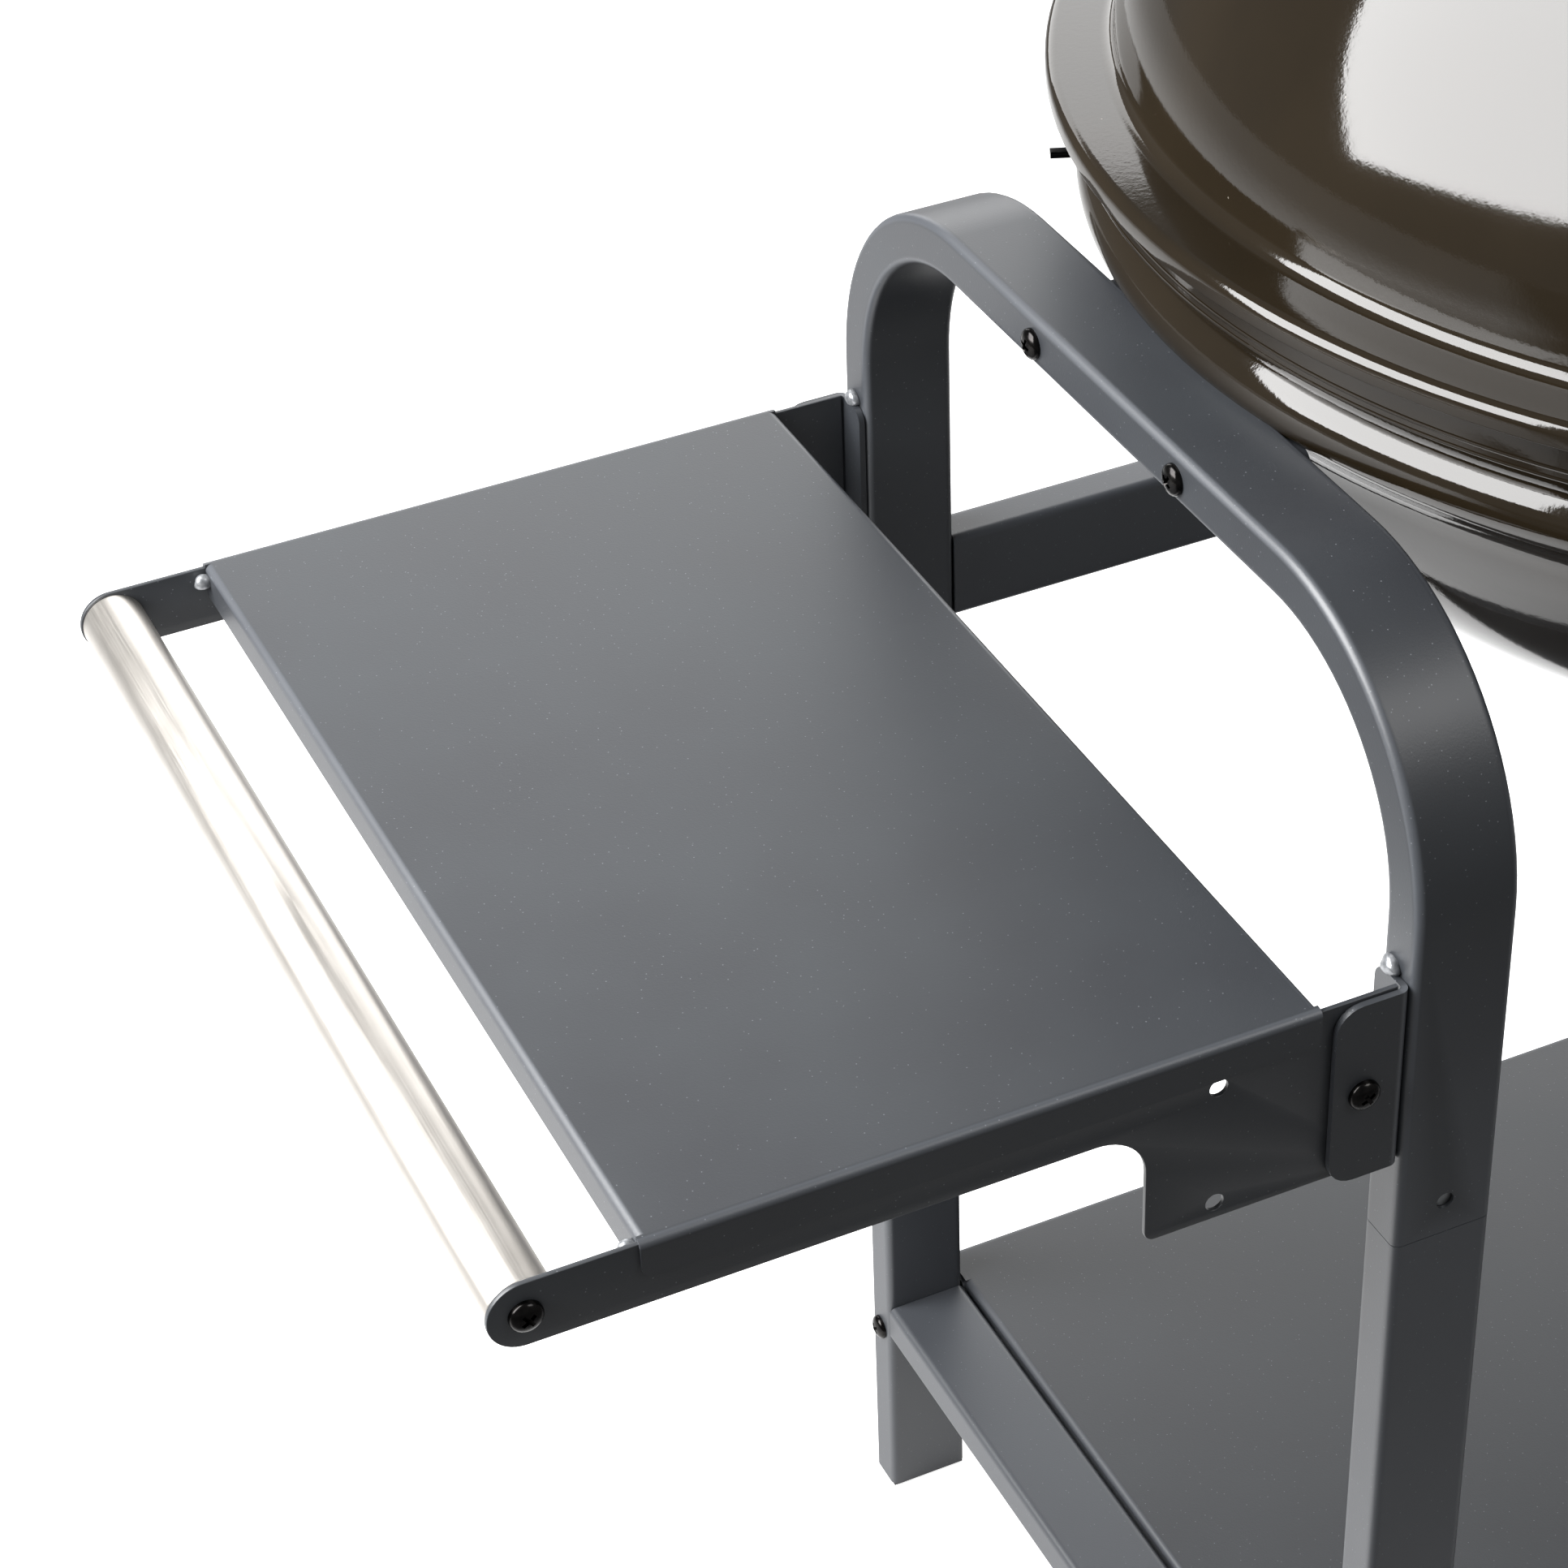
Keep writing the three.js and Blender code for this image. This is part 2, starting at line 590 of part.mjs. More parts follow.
// Brackets that carry the bowl: a plate on the hoop with two lugs shaped to the bowl.
const STRAP_LOW = 731;
const STRAP_HIGH = 749;
const STRAP_THICK = 3;
const STRAP_HALF = 72;
const LUG_HALF = 10;
const LUG_DEPTH = 20;
const bowlBody = [...bowlWall(GAP), [BAND_R + GAP, bandLow], [BAND_R + GAP, RIM_Z], [0, RIM_Z]];
for (const [side, name] of [[-1, 'left'], [1, 'right']]) {
  const face = side * (INNER_X - GAP);
  const span = (depth) => [face, face - side * depth].sort((a, b) => a - b);
  const lugs = [-KETTLE_BOLT_Y, KETTLE_BOLT_Y].map((y) =>
    box(...span(LUG_DEPTH), y - LUG_HALF, y + LUG_HALF, STRAP_LOW, STRAP_HIGH + 2));
  const holeStart = Math.min(face, face - side * 30) - 15;
  const holes = [-KETTLE_BOLT_Y, KETTLE_BOLT_Y].map((y) =>
    rod(M6_HOLE, 60, 'x', [holeStart, y, KETTLE_BOLT_Z]));
  const plate = box(...span(STRAP_THICK), -STRAP_HALF, STRAP_HALF, STRAP_LOW, STRAP_HIGH);
  const bracket = cut(join(plate, ...lugs), turned(bowlBody, KETTLE_SEGMENTS), ...holes);
  addPart(`kettle_bracket_${name}`, bracket, looks.coat);
}

// Flat hook on the bowl's back left: the lid's lip hangs on it while cooking.
const HOOK_TURN = (158 * Math.PI) / 180;
const HOOK_OUT = 316;
const HOOK_HALF = 9;
const HOOK_TOP = 777;
const HOOK_THICK = 4;
const HOOK_TIP = 12; // height of the turned-down tip
const hookTop = box(BOWL_R - 12, HOOK_OUT, -HOOK_HALF, HOOK_HALF, HOOK_TOP - HOOK_THICK, HOOK_TOP);
const hookTip = box(HOOK_OUT - HOOK_THICK, HOOK_OUT, -HOOK_HALF, HOOK_HALF, HOOK_TOP - HOOK_TIP, HOOK_TOP);
const bowlInside = [
  ...bowlWall(GAP),
  [BOWL_R + 4, BOWL_SHOULDER_Z + 6],
  [BAND_R - 1, bandLow - 3],
  [0, bandLow - 3],
];
const hook = cut(join(hookTop, hookTip), turned(bowlInside, KETTLE_SEGMENTS));
addPart('lid_hook', hook.rotateZ(HOOK_TURN), looks.screw);

// ---- grates --------------------------------------------------------------------------------------

// Round grate of parallel rods in a ring, one welded piece.
function grate(radius, z, ringR, rodR, spacing, ringSides) {
  const ringSection = [];
  for (let i = 0; i <= 6; i += 1) {
    const angle = (i * Math.PI) / 3;
    ringSection.push([radius - ringR + ringR * Math.cos(angle), z + ringR * Math.sin(angle)]);
  }
  const pieces = [];
  const count = Math.floor((radius - 12) / spacing);
  for (let i = -count; i <= count; i += 1) {
    const x = i * spacing;
    const half = Math.sqrt((radius - ringR) ** 2 - x * x);
    pieces.push(rod(rodR, 2 * half, 'y', [x, -half, z], 6));
  }
  return [turned(ringSection, ringSides), ...pieces];
}

const GRIP_Y = 248;
const GRIP_HALF = 44;
const GRIP_ROD = 5;
const GRIP_LEG = 6;
const GRIP_TOP = COOKING_GRATE_Z + 22;
const RING_R = 3;
const COOKING_ROD_R = 2;
const COOKING_SPACING = 26;
const CHARCOAL_ROD_R = 2.5;
const CHARCOAL_SPACING = 42;
function gripBlock(y, halfX, halfY, low, high) {
  return box(-halfX, halfX, y - halfY, y + halfY, low, high);
}
const grips = [-GRIP_Y, GRIP_Y].map((y) =>
  gripBlock(y, GRIP_HALF, GRIP_ROD / 2, COOKING_GRATE_Z, GRIP_TOP));
const gripGaps = [-GRIP_Y, GRIP_Y].map((y) =>
  gripBlock(y, GRIP_HALF - GRIP_LEG, GRIP_ROD, COOKING_GRATE_Z + 3.2, GRIP_TOP - GRIP_ROD));
const cookingRods = grate(COOKING_GRATE_R, COOKING_GRATE_Z, RING_R, COOKING_ROD_R, COOKING_SPACING, 36);
addPart('cooking_grate', cut(join(...cookingRods, ...grips), ...gripGaps), looks.rod);
const charcoalRods = grate(CHARCOAL_GRATE_R, CHARCOAL_GRATE_Z, RING_R, CHARCOAL_ROD_R, CHARCOAL_SPACING, 28);
addPart('charcoal_grate', join(...charcoalRods), looks.rod);

// ---- lid -----------------------------------------------------------------------------------------

function domeWall(grow) {
  const points = [];
  const steps = 8;
  for (let i = 0; i <= steps; i += 1) {
    const angle = ((Math.PI / 2) * i) / steps;
    const r = (DOME_R + grow) * Math.cos(angle);
    points.push([i === steps ? 0 : r, DOME_BASE_Z + (DOME_TOP_Z - DOME_BASE_Z + grow) * Math.sin(angle)]);
  }
  return points;
}

const lidOuter = [
  [LID_RIM_R, LID_FLANGE_Z - 9],
  [LID_RIM_R, LID_FLANGE_Z - 6],
  [LID_RIM_R - 2, LID_FLANGE_Z - 2],
  [LID_RIM_R - 6, LID_FLANGE_Z],
  [DOME_R + 8, LID_FLANGE_Z],
  [DOME_R + 2, LID_FLANGE_Z + 3],
  ...domeWall(0),
];
const lidInner = [
  ...domeWall(-SHEET).reverse(),
  [DOME_R + 0.6, LID_FLANGE_Z + 2.4],
  [DOME_R + 7.4, LID_FLANGE_Z - SHEET],
  [LID_RIM_R - 6.5, LID_FLANGE_Z - SHEET],
  [LID_RIM_R - 2.9, LID_FLANGE_Z - 2.9],
  [LID_RIM_R - SHEET, LID_FLANGE_Z - 6.3],
  [LID_RIM_R - SHEET, LID_FLANGE_Z - 9],
  [LID_RIM_R, LID_FLANGE_Z - 9],
];

// Puts something made at the origin, facing +Z, onto the dome at the lid vent.
const domeRise = DOME_TOP_Z - DOME_BASE_Z;
const ventZ = DOME_BASE_Z + domeRise * Math.sqrt(1 - (VENT_R / DOME_R) ** 2);
const ventTilt = Math.atan2((VENT_R * domeRise) / DOME_R ** 2, (ventZ - DOME_BASE_Z) / domeRise);
function atVent(geometry) {
  return geometry.rotateY(ventTilt).translate(VENT_R, 0, ventZ).rotateZ(VENT_TURN);
}

const VENT_DISC_R = 42;
const VENT_HOLE_R = 9;
const VENT_HOLE_OUT = 22;
const VENT_LIFT = 3.6; // the flat disc clears the curve of the dome
function ventHoles(low, high) {
  return [0, 1, 2].map((i) => {
    const angle = (i * 2 * Math.PI) / 3;
    const start = [VENT_HOLE_OUT * Math.cos(angle), VENT_HOLE_OUT * Math.sin(angle), low];
    return atVent(rod(VENT_HOLE_R, high - low, 'z', start, 10));
  });
}

const STANDOFF_Y = 62;
const standoffHoleZ = DOME_TOP_Z - 30;
addPart(
  'kettle_lid',
  cut(
    turned([...lidOuter, ...lidInner], KETTLE_SEGMENTS),
    ...ventHoles(-12, 12),
    atVent(rod(2.5 + GAP, 24, 'z', [0, 0, -12])),
    ...[-1, 1].map((side) => rod(M6_HOLE, 60, 'z', [0, side * STANDOFF_Y, standoffHoleZ])),
  ),
  looks.enamel,
);

const ventDisc = join(
  atVent(rod(VENT_DISC_R, SHEET, 'z', [0, 0, VENT_LIFT], 20)),
  atVent(rod(2.5, VENT_LIFT + 8, 'z', [0, 0, -6])),
  atVent(box(24, 40, -2, 2, VENT_LIFT + 0.5, VENT_LIFT + 14)),
);
addPart('lid_vent_disc', cut(ventDisc, ...ventHoles(VENT_LIFT - 1, VENT_LIFT + 2)), looks.steel);

// Lid handle: a bar on two standoffs that are bolted through the dome.
const LID_HANDLE_Z = DOME_TOP_Z + 44;
const LID_HANDLE_HALF = 80;
const LID_HANDLE_R = 12.5;
const standoffFoot = DOME_BASE_Z + domeRise * Math.sqrt(1 - (STANDOFF_Y / DOME_R) ** 2) + 1;
const standoffTop = LID_HANDLE_Z - LID_HANDLE_R - GAP;
for (const [side, name] of [[-1, 'front'], [1, 'back']]) {
  const profile = [
    [0, standoffFoot - 12],
    [M6, standoffFoot - 12],
    [M6, standoffFoot + 1],
    [9, standoffFoot + 1],
    [7, standoffFoot + 6],
    [7, standoffTop],
    [0, standoffTop],
  ];
  const standoff = turned(profile, 14);
  addPart(`lid_standoff_${name}`, standoff.translate(0, side * STANDOFF_Y, 0), looks.steel);
}
const grip = rod(LID_HANDLE_R, 2 * LID_HANDLE_HALF, 'y', [0, -LID_HANDLE_HALF, LID_HANDLE_Z], 20);
addPart('lid_handle', grip, looks.plastic);

// ---- axle and wheels -----------------------------------------------------------------------------

const AXLE_END = WHEEL_OUT_Y + 6;
addPart('axle', rod(AXLE_R, 2 * AXLE_END, 'y', [LEG_AXIS_X, -AXLE_END, WHEEL_R], ROUND), looks.zinc);

// Turned shapes below are built about +Z with Z as distance from the kettle's axis, then swung onto +Y.
function ontoAxle(geometry, side) {
  geometry.rotateX(-Math.PI / 2);
  if (side < 0) geometry.rotateZ(Math.PI);
  return geometry.translate(LEG_AXIS_X, 0, WHEEL_R);
}

const RIM_R = 72;
const HUB_R = 18;
const BORE_R = AXLE_R + 0.06;
const middle = (WHEEL_IN_Y + WHEEL_OUT_Y) / 2;
const wheelSection = [
  [BORE_R, WHEEL_IN_Y],
  [HUB_R, WHEEL_IN_Y],
  [HUB_R, middle - 3],
  [RIM_R - 8, middle - 3],
  [RIM_R - 5, WHEEL_IN_Y + 2],
  [RIM_R, WHEEL_IN_Y + 2],
  [RIM_R, WHEEL_OUT_Y - 2],
  [RIM_R - 5, WHEEL_OUT_Y - 2],
  [RIM_R - 8, middle + 3],
  [HUB_R, middle + 3],
  [HUB_R, WHEEL_OUT_Y],
  [BORE_R, WHEEL_OUT_Y],
  [BORE_R, WHEEL_IN_Y],
];
const tyreSection = [
  [RIM_R + GAP, WHEEL_IN_Y + 3],
  [WHEEL_R - 5, WHEEL_IN_Y + 1],
  [WHEEL_R, WHEEL_IN_Y + 7],
  [WHEEL_R, WHEEL_OUT_Y - 7],
  [WHEEL_R - 5, WHEEL_OUT_Y - 1],
  [RIM_R + GAP, WHEEL_OUT_Y - 3],
  [RIM_R + GAP, WHEEL_IN_Y + 3],
];
const capLow = WHEEL_OUT_Y + 0.6;
const capSection = [
  [0, AXLE_END + 4],
  [8, AXLE_END + 3],
  [13, capLow + 3],
  [13, capLow],
  [AXLE_R + GAP, capLow],
  [AXLE_R + GAP, AXLE_END + GAP],
  [0, AXLE_END + GAP],
];
for (const [side, name] of [[-1, 'front'], [1, 'back']]) {
  addPart(`wheel_${name}`, ontoAxle(turned(wheelSection, ROUND), side), looks.plastic);
  addPart(`tyre_${name}`, ontoAxle(turned(tyreSection, ROUND), side), looks.tyre);
  addPart(`axle_cap_${name}`, ontoAxle(turned(capSection, 14), side), looks.plastic);
}

// ---- screws --------------------------------------------------------------------------------------

// Pan-head screw with its head's underside at the origin, head towards +Z.
function screw(length) {
  return turned([[0, 3.4], [4, 2.9], [6, 0.8], [6, 0], [M6, 0], [M6, -length], [0, -length]], 10);
}

// Screws through the legs and hoops, heads outwards.
const crossScrews = [
  ['rear_bar', LEG_AXIS_Y, UPPER_BAR_Z + TUBE_WIDE / 2],
  ['lower_back', LEG_AXIS_Y, LOWER_BAR_Z + TUBE_WIDE / 2],
  ['lower_front', -LEG_AXIS_Y, LOWER_BAR_Z + TUBE_WIDE / 2],
  ['kettle_back', KETTLE_BOLT_Y, KETTLE_BOLT_Z],
  ['kettle_front', -KETTLE_BOLT_Y, KETTLE_BOLT_Z],
];
for (const [side, sideName] of [[-1, 'left'], [1, 'right']]) {
  for (const [name, y, z] of crossScrews) {
    const body = screw(TUBE_WIDE + 7).rotateY((side * Math.PI) / 2);
    addPart(`screw_${name}_${sideName}`, body.translate(side * (CART_X + GAP), y, z), looks.screw);
  }
}

for (const [side, name] of [[-1, 'front'], [1, 'back']]) {
  const armFace = side * (ARM_Y + ARM_THICK + GAP);
  const handleScrew = screw(14).rotateX((-side * Math.PI) / 2).translate(HANDLE_X, armFace, HANDLE_Z);
  addPart(`screw_handle_${name}`, handleScrew, looks.screw);
  const flangeFace = side * (ARM_Y + ARM_THICK + 2 * GAP + BRACKET_THICK);
  const shelfScrew = screw(10).rotateX((-side * Math.PI) / 2);
  addPart(`screw_shelf_${name}`, shelfScrew.translate(SHELF_SCREW_X, flangeFace, SHELF_SCREW_Z), looks.screw);
}

export default group;
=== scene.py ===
"""A kettle charcoal grill on a wheeled tube cart, with a side shelf and a stainless handle.

Metres, +Z up, origin mid-footprint on the floor, the shelf at -X, the wheels at +X, the front at -Y.
"""

from math import asin, atan2, cos, pi, radians, sin, sqrt

import bmesh
import bpy
from mathutils import Matrix, Quaternion, Vector


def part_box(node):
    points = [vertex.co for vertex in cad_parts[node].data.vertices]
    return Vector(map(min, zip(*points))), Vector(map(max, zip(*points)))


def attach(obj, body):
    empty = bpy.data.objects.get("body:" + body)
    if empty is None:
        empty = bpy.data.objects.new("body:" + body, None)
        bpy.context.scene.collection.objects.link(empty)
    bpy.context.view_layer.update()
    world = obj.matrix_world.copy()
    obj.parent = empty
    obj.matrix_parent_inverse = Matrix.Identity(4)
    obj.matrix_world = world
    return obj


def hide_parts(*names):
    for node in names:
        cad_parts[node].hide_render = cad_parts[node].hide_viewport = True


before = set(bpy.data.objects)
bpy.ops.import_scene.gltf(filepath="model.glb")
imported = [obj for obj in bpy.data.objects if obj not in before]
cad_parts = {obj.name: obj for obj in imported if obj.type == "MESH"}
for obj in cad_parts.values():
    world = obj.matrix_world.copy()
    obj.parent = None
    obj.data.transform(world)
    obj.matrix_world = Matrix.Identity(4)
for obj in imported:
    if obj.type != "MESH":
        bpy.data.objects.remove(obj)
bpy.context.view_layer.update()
scene = bpy.context.scene
MM = 0.001


# ---- Camera and studio ---------------------------------------------------------------------------
# A long lens above the front left corner. A big tilted soft box hangs over the shelf end, a dimmer
# panel stands behind the grill and a small box fills the front, on a white floor.

CAMERA_AT = Vector((-0.8015, -1.0748, 1.4836))
CAMERA_AZIMUTH = radians(-23.365)
CAMERA_ELEVATION = radians(36.455)
CAMERA_ROLL = radians(-2.491)
CAMERA_LENS = 91.33
STUDIO_RADIUS = 5.0

camera_data = bpy.data.cameras.new("camera")
camera_data.lens = CAMERA_LENS
camera = bpy.data.objects.new("camera", camera_data)
scene.collection.objects.link(camera)
camera_back = Vector((
    sin(CAMERA_AZIMUTH) * cos(CAMERA_ELEVATION),
    -cos(CAMERA_AZIMUTH) * cos(CAMERA_ELEVATION),
    sin(CAMERA_ELEVATION),
))
camera.rotation_mode = "QUATERNION"
camera.rotation_quaternion = camera_back.to_track_quat("Z", "Y") @ Quaternion((0, 0, 1), CAMERA_ROLL)
camera.location = CAMERA_AT
scene.camera = camera
scene.view_settings.view_transform = "Standard"


def linear(hex_colour):
    """sRGB hex, such as "2f3236", as a linear colour with alpha."""
    parts = [int(hex_colour[i : i + 2], 16) / 255 for i in (0, 2, 4)]
    return tuple(p / 12.92 if p < 0.04045 else ((p + 0.055) / 1.055) ** 2.4 for p in parts) + (1.0,)


def add_node(tree, kind, inputs=None, **settings):
    """Adds a node; `inputs` gives sockets, by name or number, a value or what feeds them.

    A node that feeds a socket does so from its first output.
    """
    made = tree.nodes.new(kind)
    for key, value in settings.items():
        setattr(made, key, value)
    for key, value in (inputs or {}).items():
        value = value.outputs[0] if isinstance(value, bpy.types.Node) else value
        if isinstance(value, bpy.types.NodeSocket):
            tree.links.new(value, made.inputs[key])
        else:
            made.inputs[key].default_value = value
    return made


def soft_box(name, at, towards, width, height, power, roll=0.0):
    """A rectangular soft light that the camera doesn't see; `roll` turns it on its own axis."""
    data = bpy.data.lights.new(name, "AREA")
    data.shape = "RECTANGLE"
    data.size, data.size_y, data.energy = width, height, power
    light = bpy.data.objects.new(name, data)
    light.location = at
    light.rotation_mode = "QUATERNION"
    aim = (Vector(at) - Vector(towards)).to_track_quat("Z", "Y")
    light.rotation_quaternion = aim @ Quaternion((0, 0, 1), roll)
    light.visible_camera = False
    scene.collection.objects.link(light)


soft_box("shelf_end_box", (-1.436, 0.273, 1.635), (-0.638, 0.16, 1.042),
         width=1.38, height=1.5, power=97, roll=radians(17))
soft_box("back_panel", (0.775, 2.11, 1.46), (0.0, 0.3, 0.9), width=2.6, height=1.24, power=30)
soft_box("front_box", (1.1, -1.7, 2.6), (0.0, 0.0, 0.6), width=1.1, height=1.1, power=20)

floor_mesh = bpy.data.meshes.new("floor")
floor_form = bmesh.new()
bmesh.ops.create_circle(floor_form, cap_ends=True, segments=96, radius=STUDIO_RADIUS)
floor_form.to_mesh(floor_mesh)
floor_form.free()
floor = bpy.data.objects.new("floor", floor_mesh)
scene.collection.objects.link(floor)
floor_paint = bpy.data.materials.new("white_studio_floor")
floor_paint.use_nodes = True
floor_tree = floor_paint.node_tree
floor_shader = floor_tree.nodes["Principled BSDF"]
floor_shader.inputs["Roughness"].default_value = 0.3
floor_shader.inputs["Emission Color"].default_value = (1, 1, 1, 1)
# The camera sees the floor burnt out to white. Shiny parts see a painted pool of light on it, a brighter
# colour and glow under the big box and dark in front; everything else sees a dimmer floor.
floor_ray = add_node(floor_tree, "ShaderNodeLightPath")
floor_place = add_node(floor_tree, "ShaderNodeTexCoord")
floor_y = add_node(floor_tree, "ShaderNodeSeparateXYZ", {0: floor_place.outputs["Object"]})
lit_part = add_node(floor_tree, "ShaderNodeMapRange", {0: floor_y.outputs[1], 1: -0.5, 2: -0.15})
lit_tone = add_node(floor_tree, "ShaderNodeMix", {
    0: lit_part, 6: linear("505050"), 7: linear("dcdcdc")}, data_type="RGBA")
unseen_tone = add_node(floor_tree, "ShaderNodeMix", {
    0: floor_ray.outputs["Is Glossy Ray"], 6: linear("747474"), 7: lit_tone.outputs[2]}, data_type="RGBA")
floor_tone = add_node(floor_tree, "ShaderNodeMix", {
    0: floor_ray.outputs["Is Camera Ray"], 6: unseen_tone.outputs[2], 7: linear("e6e6e6")}, data_type="RGBA")
shiny_glow = add_node(floor_tree, "ShaderNodeMath", {
    0: floor_ray.outputs["Is Glossy Ray"], 1: lit_part}, operation="MULTIPLY")
unseen_glow = add_node(floor_tree, "ShaderNodeMapRange", {0: shiny_glow, 3: 0.05, 4: 0.3})
floor_glow = add_node(floor_tree, "ShaderNodeMix", {
    0: floor_ray.outputs["Is Camera Ray"], 2: unseen_glow, 3: 0.8})
floor_tree.links.new(floor_tone.outputs[2], floor_shader.inputs["Base Color"])
floor_tree.links.new(floor_glow.outputs[0], floor_shader.inputs["Emission Strength"])
floor_mesh.materials.append(floor_paint)

world = bpy.data.worlds.new("studio")
world.use_nodes = True
scene.world = world
studio = world.node_tree
ray = add_node(studio, "ShaderNodeLightPath")
dim_room = add_node(studio, "ShaderNodeBackground", {"Color": (1, 1, 1, 1), "Strength": 0.2})
white_room = add_node(studio, "ShaderNodeBackground", {"Color": (1, 1, 1, 1), "Strength": 1.0})
seen = add_node(studio, "ShaderNodeMixShader", {
    0: ray.outputs["Is Camera Ray"], 1: dim_room, 2: white_room})
studio.links.new(seen.outputs[0], studio.nodes["World Output"].inputs["Surface"])


# ---- Lower legs ----------------------------------------------------------------------------------
# Rectangular steel tube, 40 by 20 mm, rolled with rounded corners. The left pair stands on the floor,
# the right pair is cut short and carries the axle.

TUBE_WALL = 1.5 * MM
TUBE_CORNER = 3.2 * MM
CORNER_STEPS = 5
EDGE_BAND = 0.7 * MM  # flat strip beside each rounded corner, so that the shading stays crisp


def new_material(name, **values):
    """A material and its node tree, object coordinates and shader; `values` are shader inputs."""
    made = bpy.data.materials.new(name)
    made.use_nodes = True
    shader = made.node_tree.nodes["Principled BSDF"]
    for key, value in values.items():
        shader.inputs[key.replace("_", " ")].default_value = value
    coordinates = add_node(made.node_tree, "ShaderNodeTexCoord").outputs["Object"]
    return made, made.node_tree, coordinates, shader


def feed(shader, **sources):
    """Links sockets, or the first outputs of nodes, to the shader's inputs of those names."""
    for key, source in sources.items():
        source = source.outputs[0] if isinstance(source, bpy.types.Node) else source
        shader.id_data.links.new(source, shader.inputs[key.replace("_", " ")])


# Powder-coated steel, a fine-texture matt anthracite baked on in one thick film. The film is slightly
# rough like fine sandpaper and holds a few pale grains; the lighter line on every fold is a painted
# highlight.
powder_coat, tree, place, shader = new_material("powder_coated_steel", Specular_IOR_Level=0.75)
# Grains of about 0.35 mm are drawn at 0.8 mm, so that they show.
grain = add_node(tree, "ShaderNodeTexNoise", {"Vector": place, "Scale": 1 / (0.8 * MM), "Detail": 2.0})
cloud = add_node(tree, "ShaderNodeTexNoise", {"Vector": place, "Scale": 1 / (70 * MM), "Detail": 3.0})
speck = add_node(tree, "ShaderNodeTexVoronoi", {"Vector": place, "Scale": 1 / (3.2 * MM)})
speck_mask = add_node(tree, "ShaderNodeMapRange", {
    0: speck.outputs["Distance"], 1: 0.03, 2: 0.1, 3: 0.9, 4: 0.0})
fold_highlight_mask = add_node(tree, "ShaderNodeAttribute", attribute_name="edge")
patch = add_node(tree, "ShaderNodeMapRange", {0: cloud, 1: 0.3, 2: 0.7, 3: 0.0, 4: 1.0})
film = add_node(tree, "ShaderNodeMix", {
    0: patch, 6: linear("2b2d31"), 7: linear("2f3236")}, data_type="RGBA")
grained = add_node(tree, "ShaderNodeMix", {
    0: speck_mask, 6: film.outputs[2], 7: linear("74777c")}, data_type="RGBA")
# Painted highlight: every fold is lightened towards 70747b, standing in for light caught by the rounded
# edges.
fold_highlight_amount = add_node(tree, "ShaderNodeMath", {0: fold_highlight_mask.outputs["Fac"], 1: 0.2}, operation="MULTIPLY")
fold_highlighted = add_node(tree, "ShaderNodeMix", {
    0: fold_highlight_amount, 6: grained.outputs[2], 7: linear("70747b")}, data_type="RGBA")
film_gloss = add_node(tree, "ShaderNodeMapRange", {0: cloud, 1: 0.3, 2: 0.7, 3: 0.41, 4: 0.44})
film_bump = add_node(tree, "ShaderNodeBump", {
    "Strength": 0.45, "Distance": 0.07 * MM, "Height": grain})
feed(shader, Base_Color=fold_highlighted.outputs[2], Roughness=film_gloss, Normal=film_bump)


def skin(rings, loop=False, caps=False):
    """Points and faces over rings of equal length; `loop` joins the last ring to the first."""
    count = len(rings[0])
    points = [Vector(p) for ring in rings for p in ring]
    faces = []
    for i in range(len(rings) if loop else len(rings) - 1):
        a, b = i * count, (i + 1) % len(rings) * count
        for j in range(count):
            k = (j + 1) % count
            faces.append((a + j, a + k, b + k, b + j))
    if caps:
        faces.append(tuple(range(count))[::-1])
        faces.append(tuple(range(len(points) - count, len(points))))
    return points, faces


def closed_mesh(name, points, faces, paint_fold_highlight=False):
    """A mesh with its doubles merged and its faces outward; sharp folds can get the "edge" attribute, the
    mask of the coat's painted fold highlight.
    """
    form = bmesh.new()
    corners = [form.verts.new(p) for p in points]
    for face in faces:
        form.faces.new([corners[i] for i in face])
    bmesh.ops.remove_doubles(form, verts=form.verts, dist=1e-6)
    bmesh.ops.dissolve_degenerate(form, edges=form.edges, dist=1e-7)
    bmesh.ops.recalc_face_normals(form, faces=form.faces)
    if paint_fold_highlight:
        layer = form.verts.layers.float.new("edge")
        for corner in form.verts:
            folds = [e.calc_face_angle(0) for e in corner.link_edges]
            corner[layer] = 1.0 if max(folds) > radians(10) else 0.0
    mesh = bpy.data.meshes.new(name)
    form.to_mesh(mesh)
    form.free()
    return mesh


def put(name, mesh, material, slot, body, *nodes, smooth=38):
    """Makes the mesh a piece: smooth below `smooth` degrees, riding on a body in place of CAD nodes."""
    mesh.name = name
    mesh.materials.clear()
    mesh.materials.append(material)
    mesh.polygons.foreach_set("use_smooth", [True] * len(mesh.polygons))
    mesh.set_sharp_from_angle(angle=radians(smooth))
    piece = bpy.data.objects.new(name, mesh)
    scene.collection.objects.link(piece)
    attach(piece, body)
    if nodes:
        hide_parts(*nodes)
    return piece


def rounded_outline(width, depth, radius):
    """Round-cornered rectangle as (u, v), with a point just past each end of its corner arcs."""
    outline = []
    for quarter, (cu, cv) in enumerate([(1, 1), (-1, 1), (-1, -1), (1, -1)]):
        centre = Vector((cu * (width / 2 - radius), cv * (depth / 2 - radius)))
        angles = [pi / 2 * (quarter + i / CORNER_STEPS) for i in range(CORNER_STEPS + 1)]
        arc = [centre + radius * Vector((cos(a), sin(a))) for a in angles]
        outline.append(arc[0] - EDGE_BAND * Vector((-sin(angles[0]), cos(angles[0]))))
        outline += arc
        outline.append(arc[-1] + EDGE_BAND * Vector((-sin(angles[-1]), cos(angles[-1]))))
    return outline


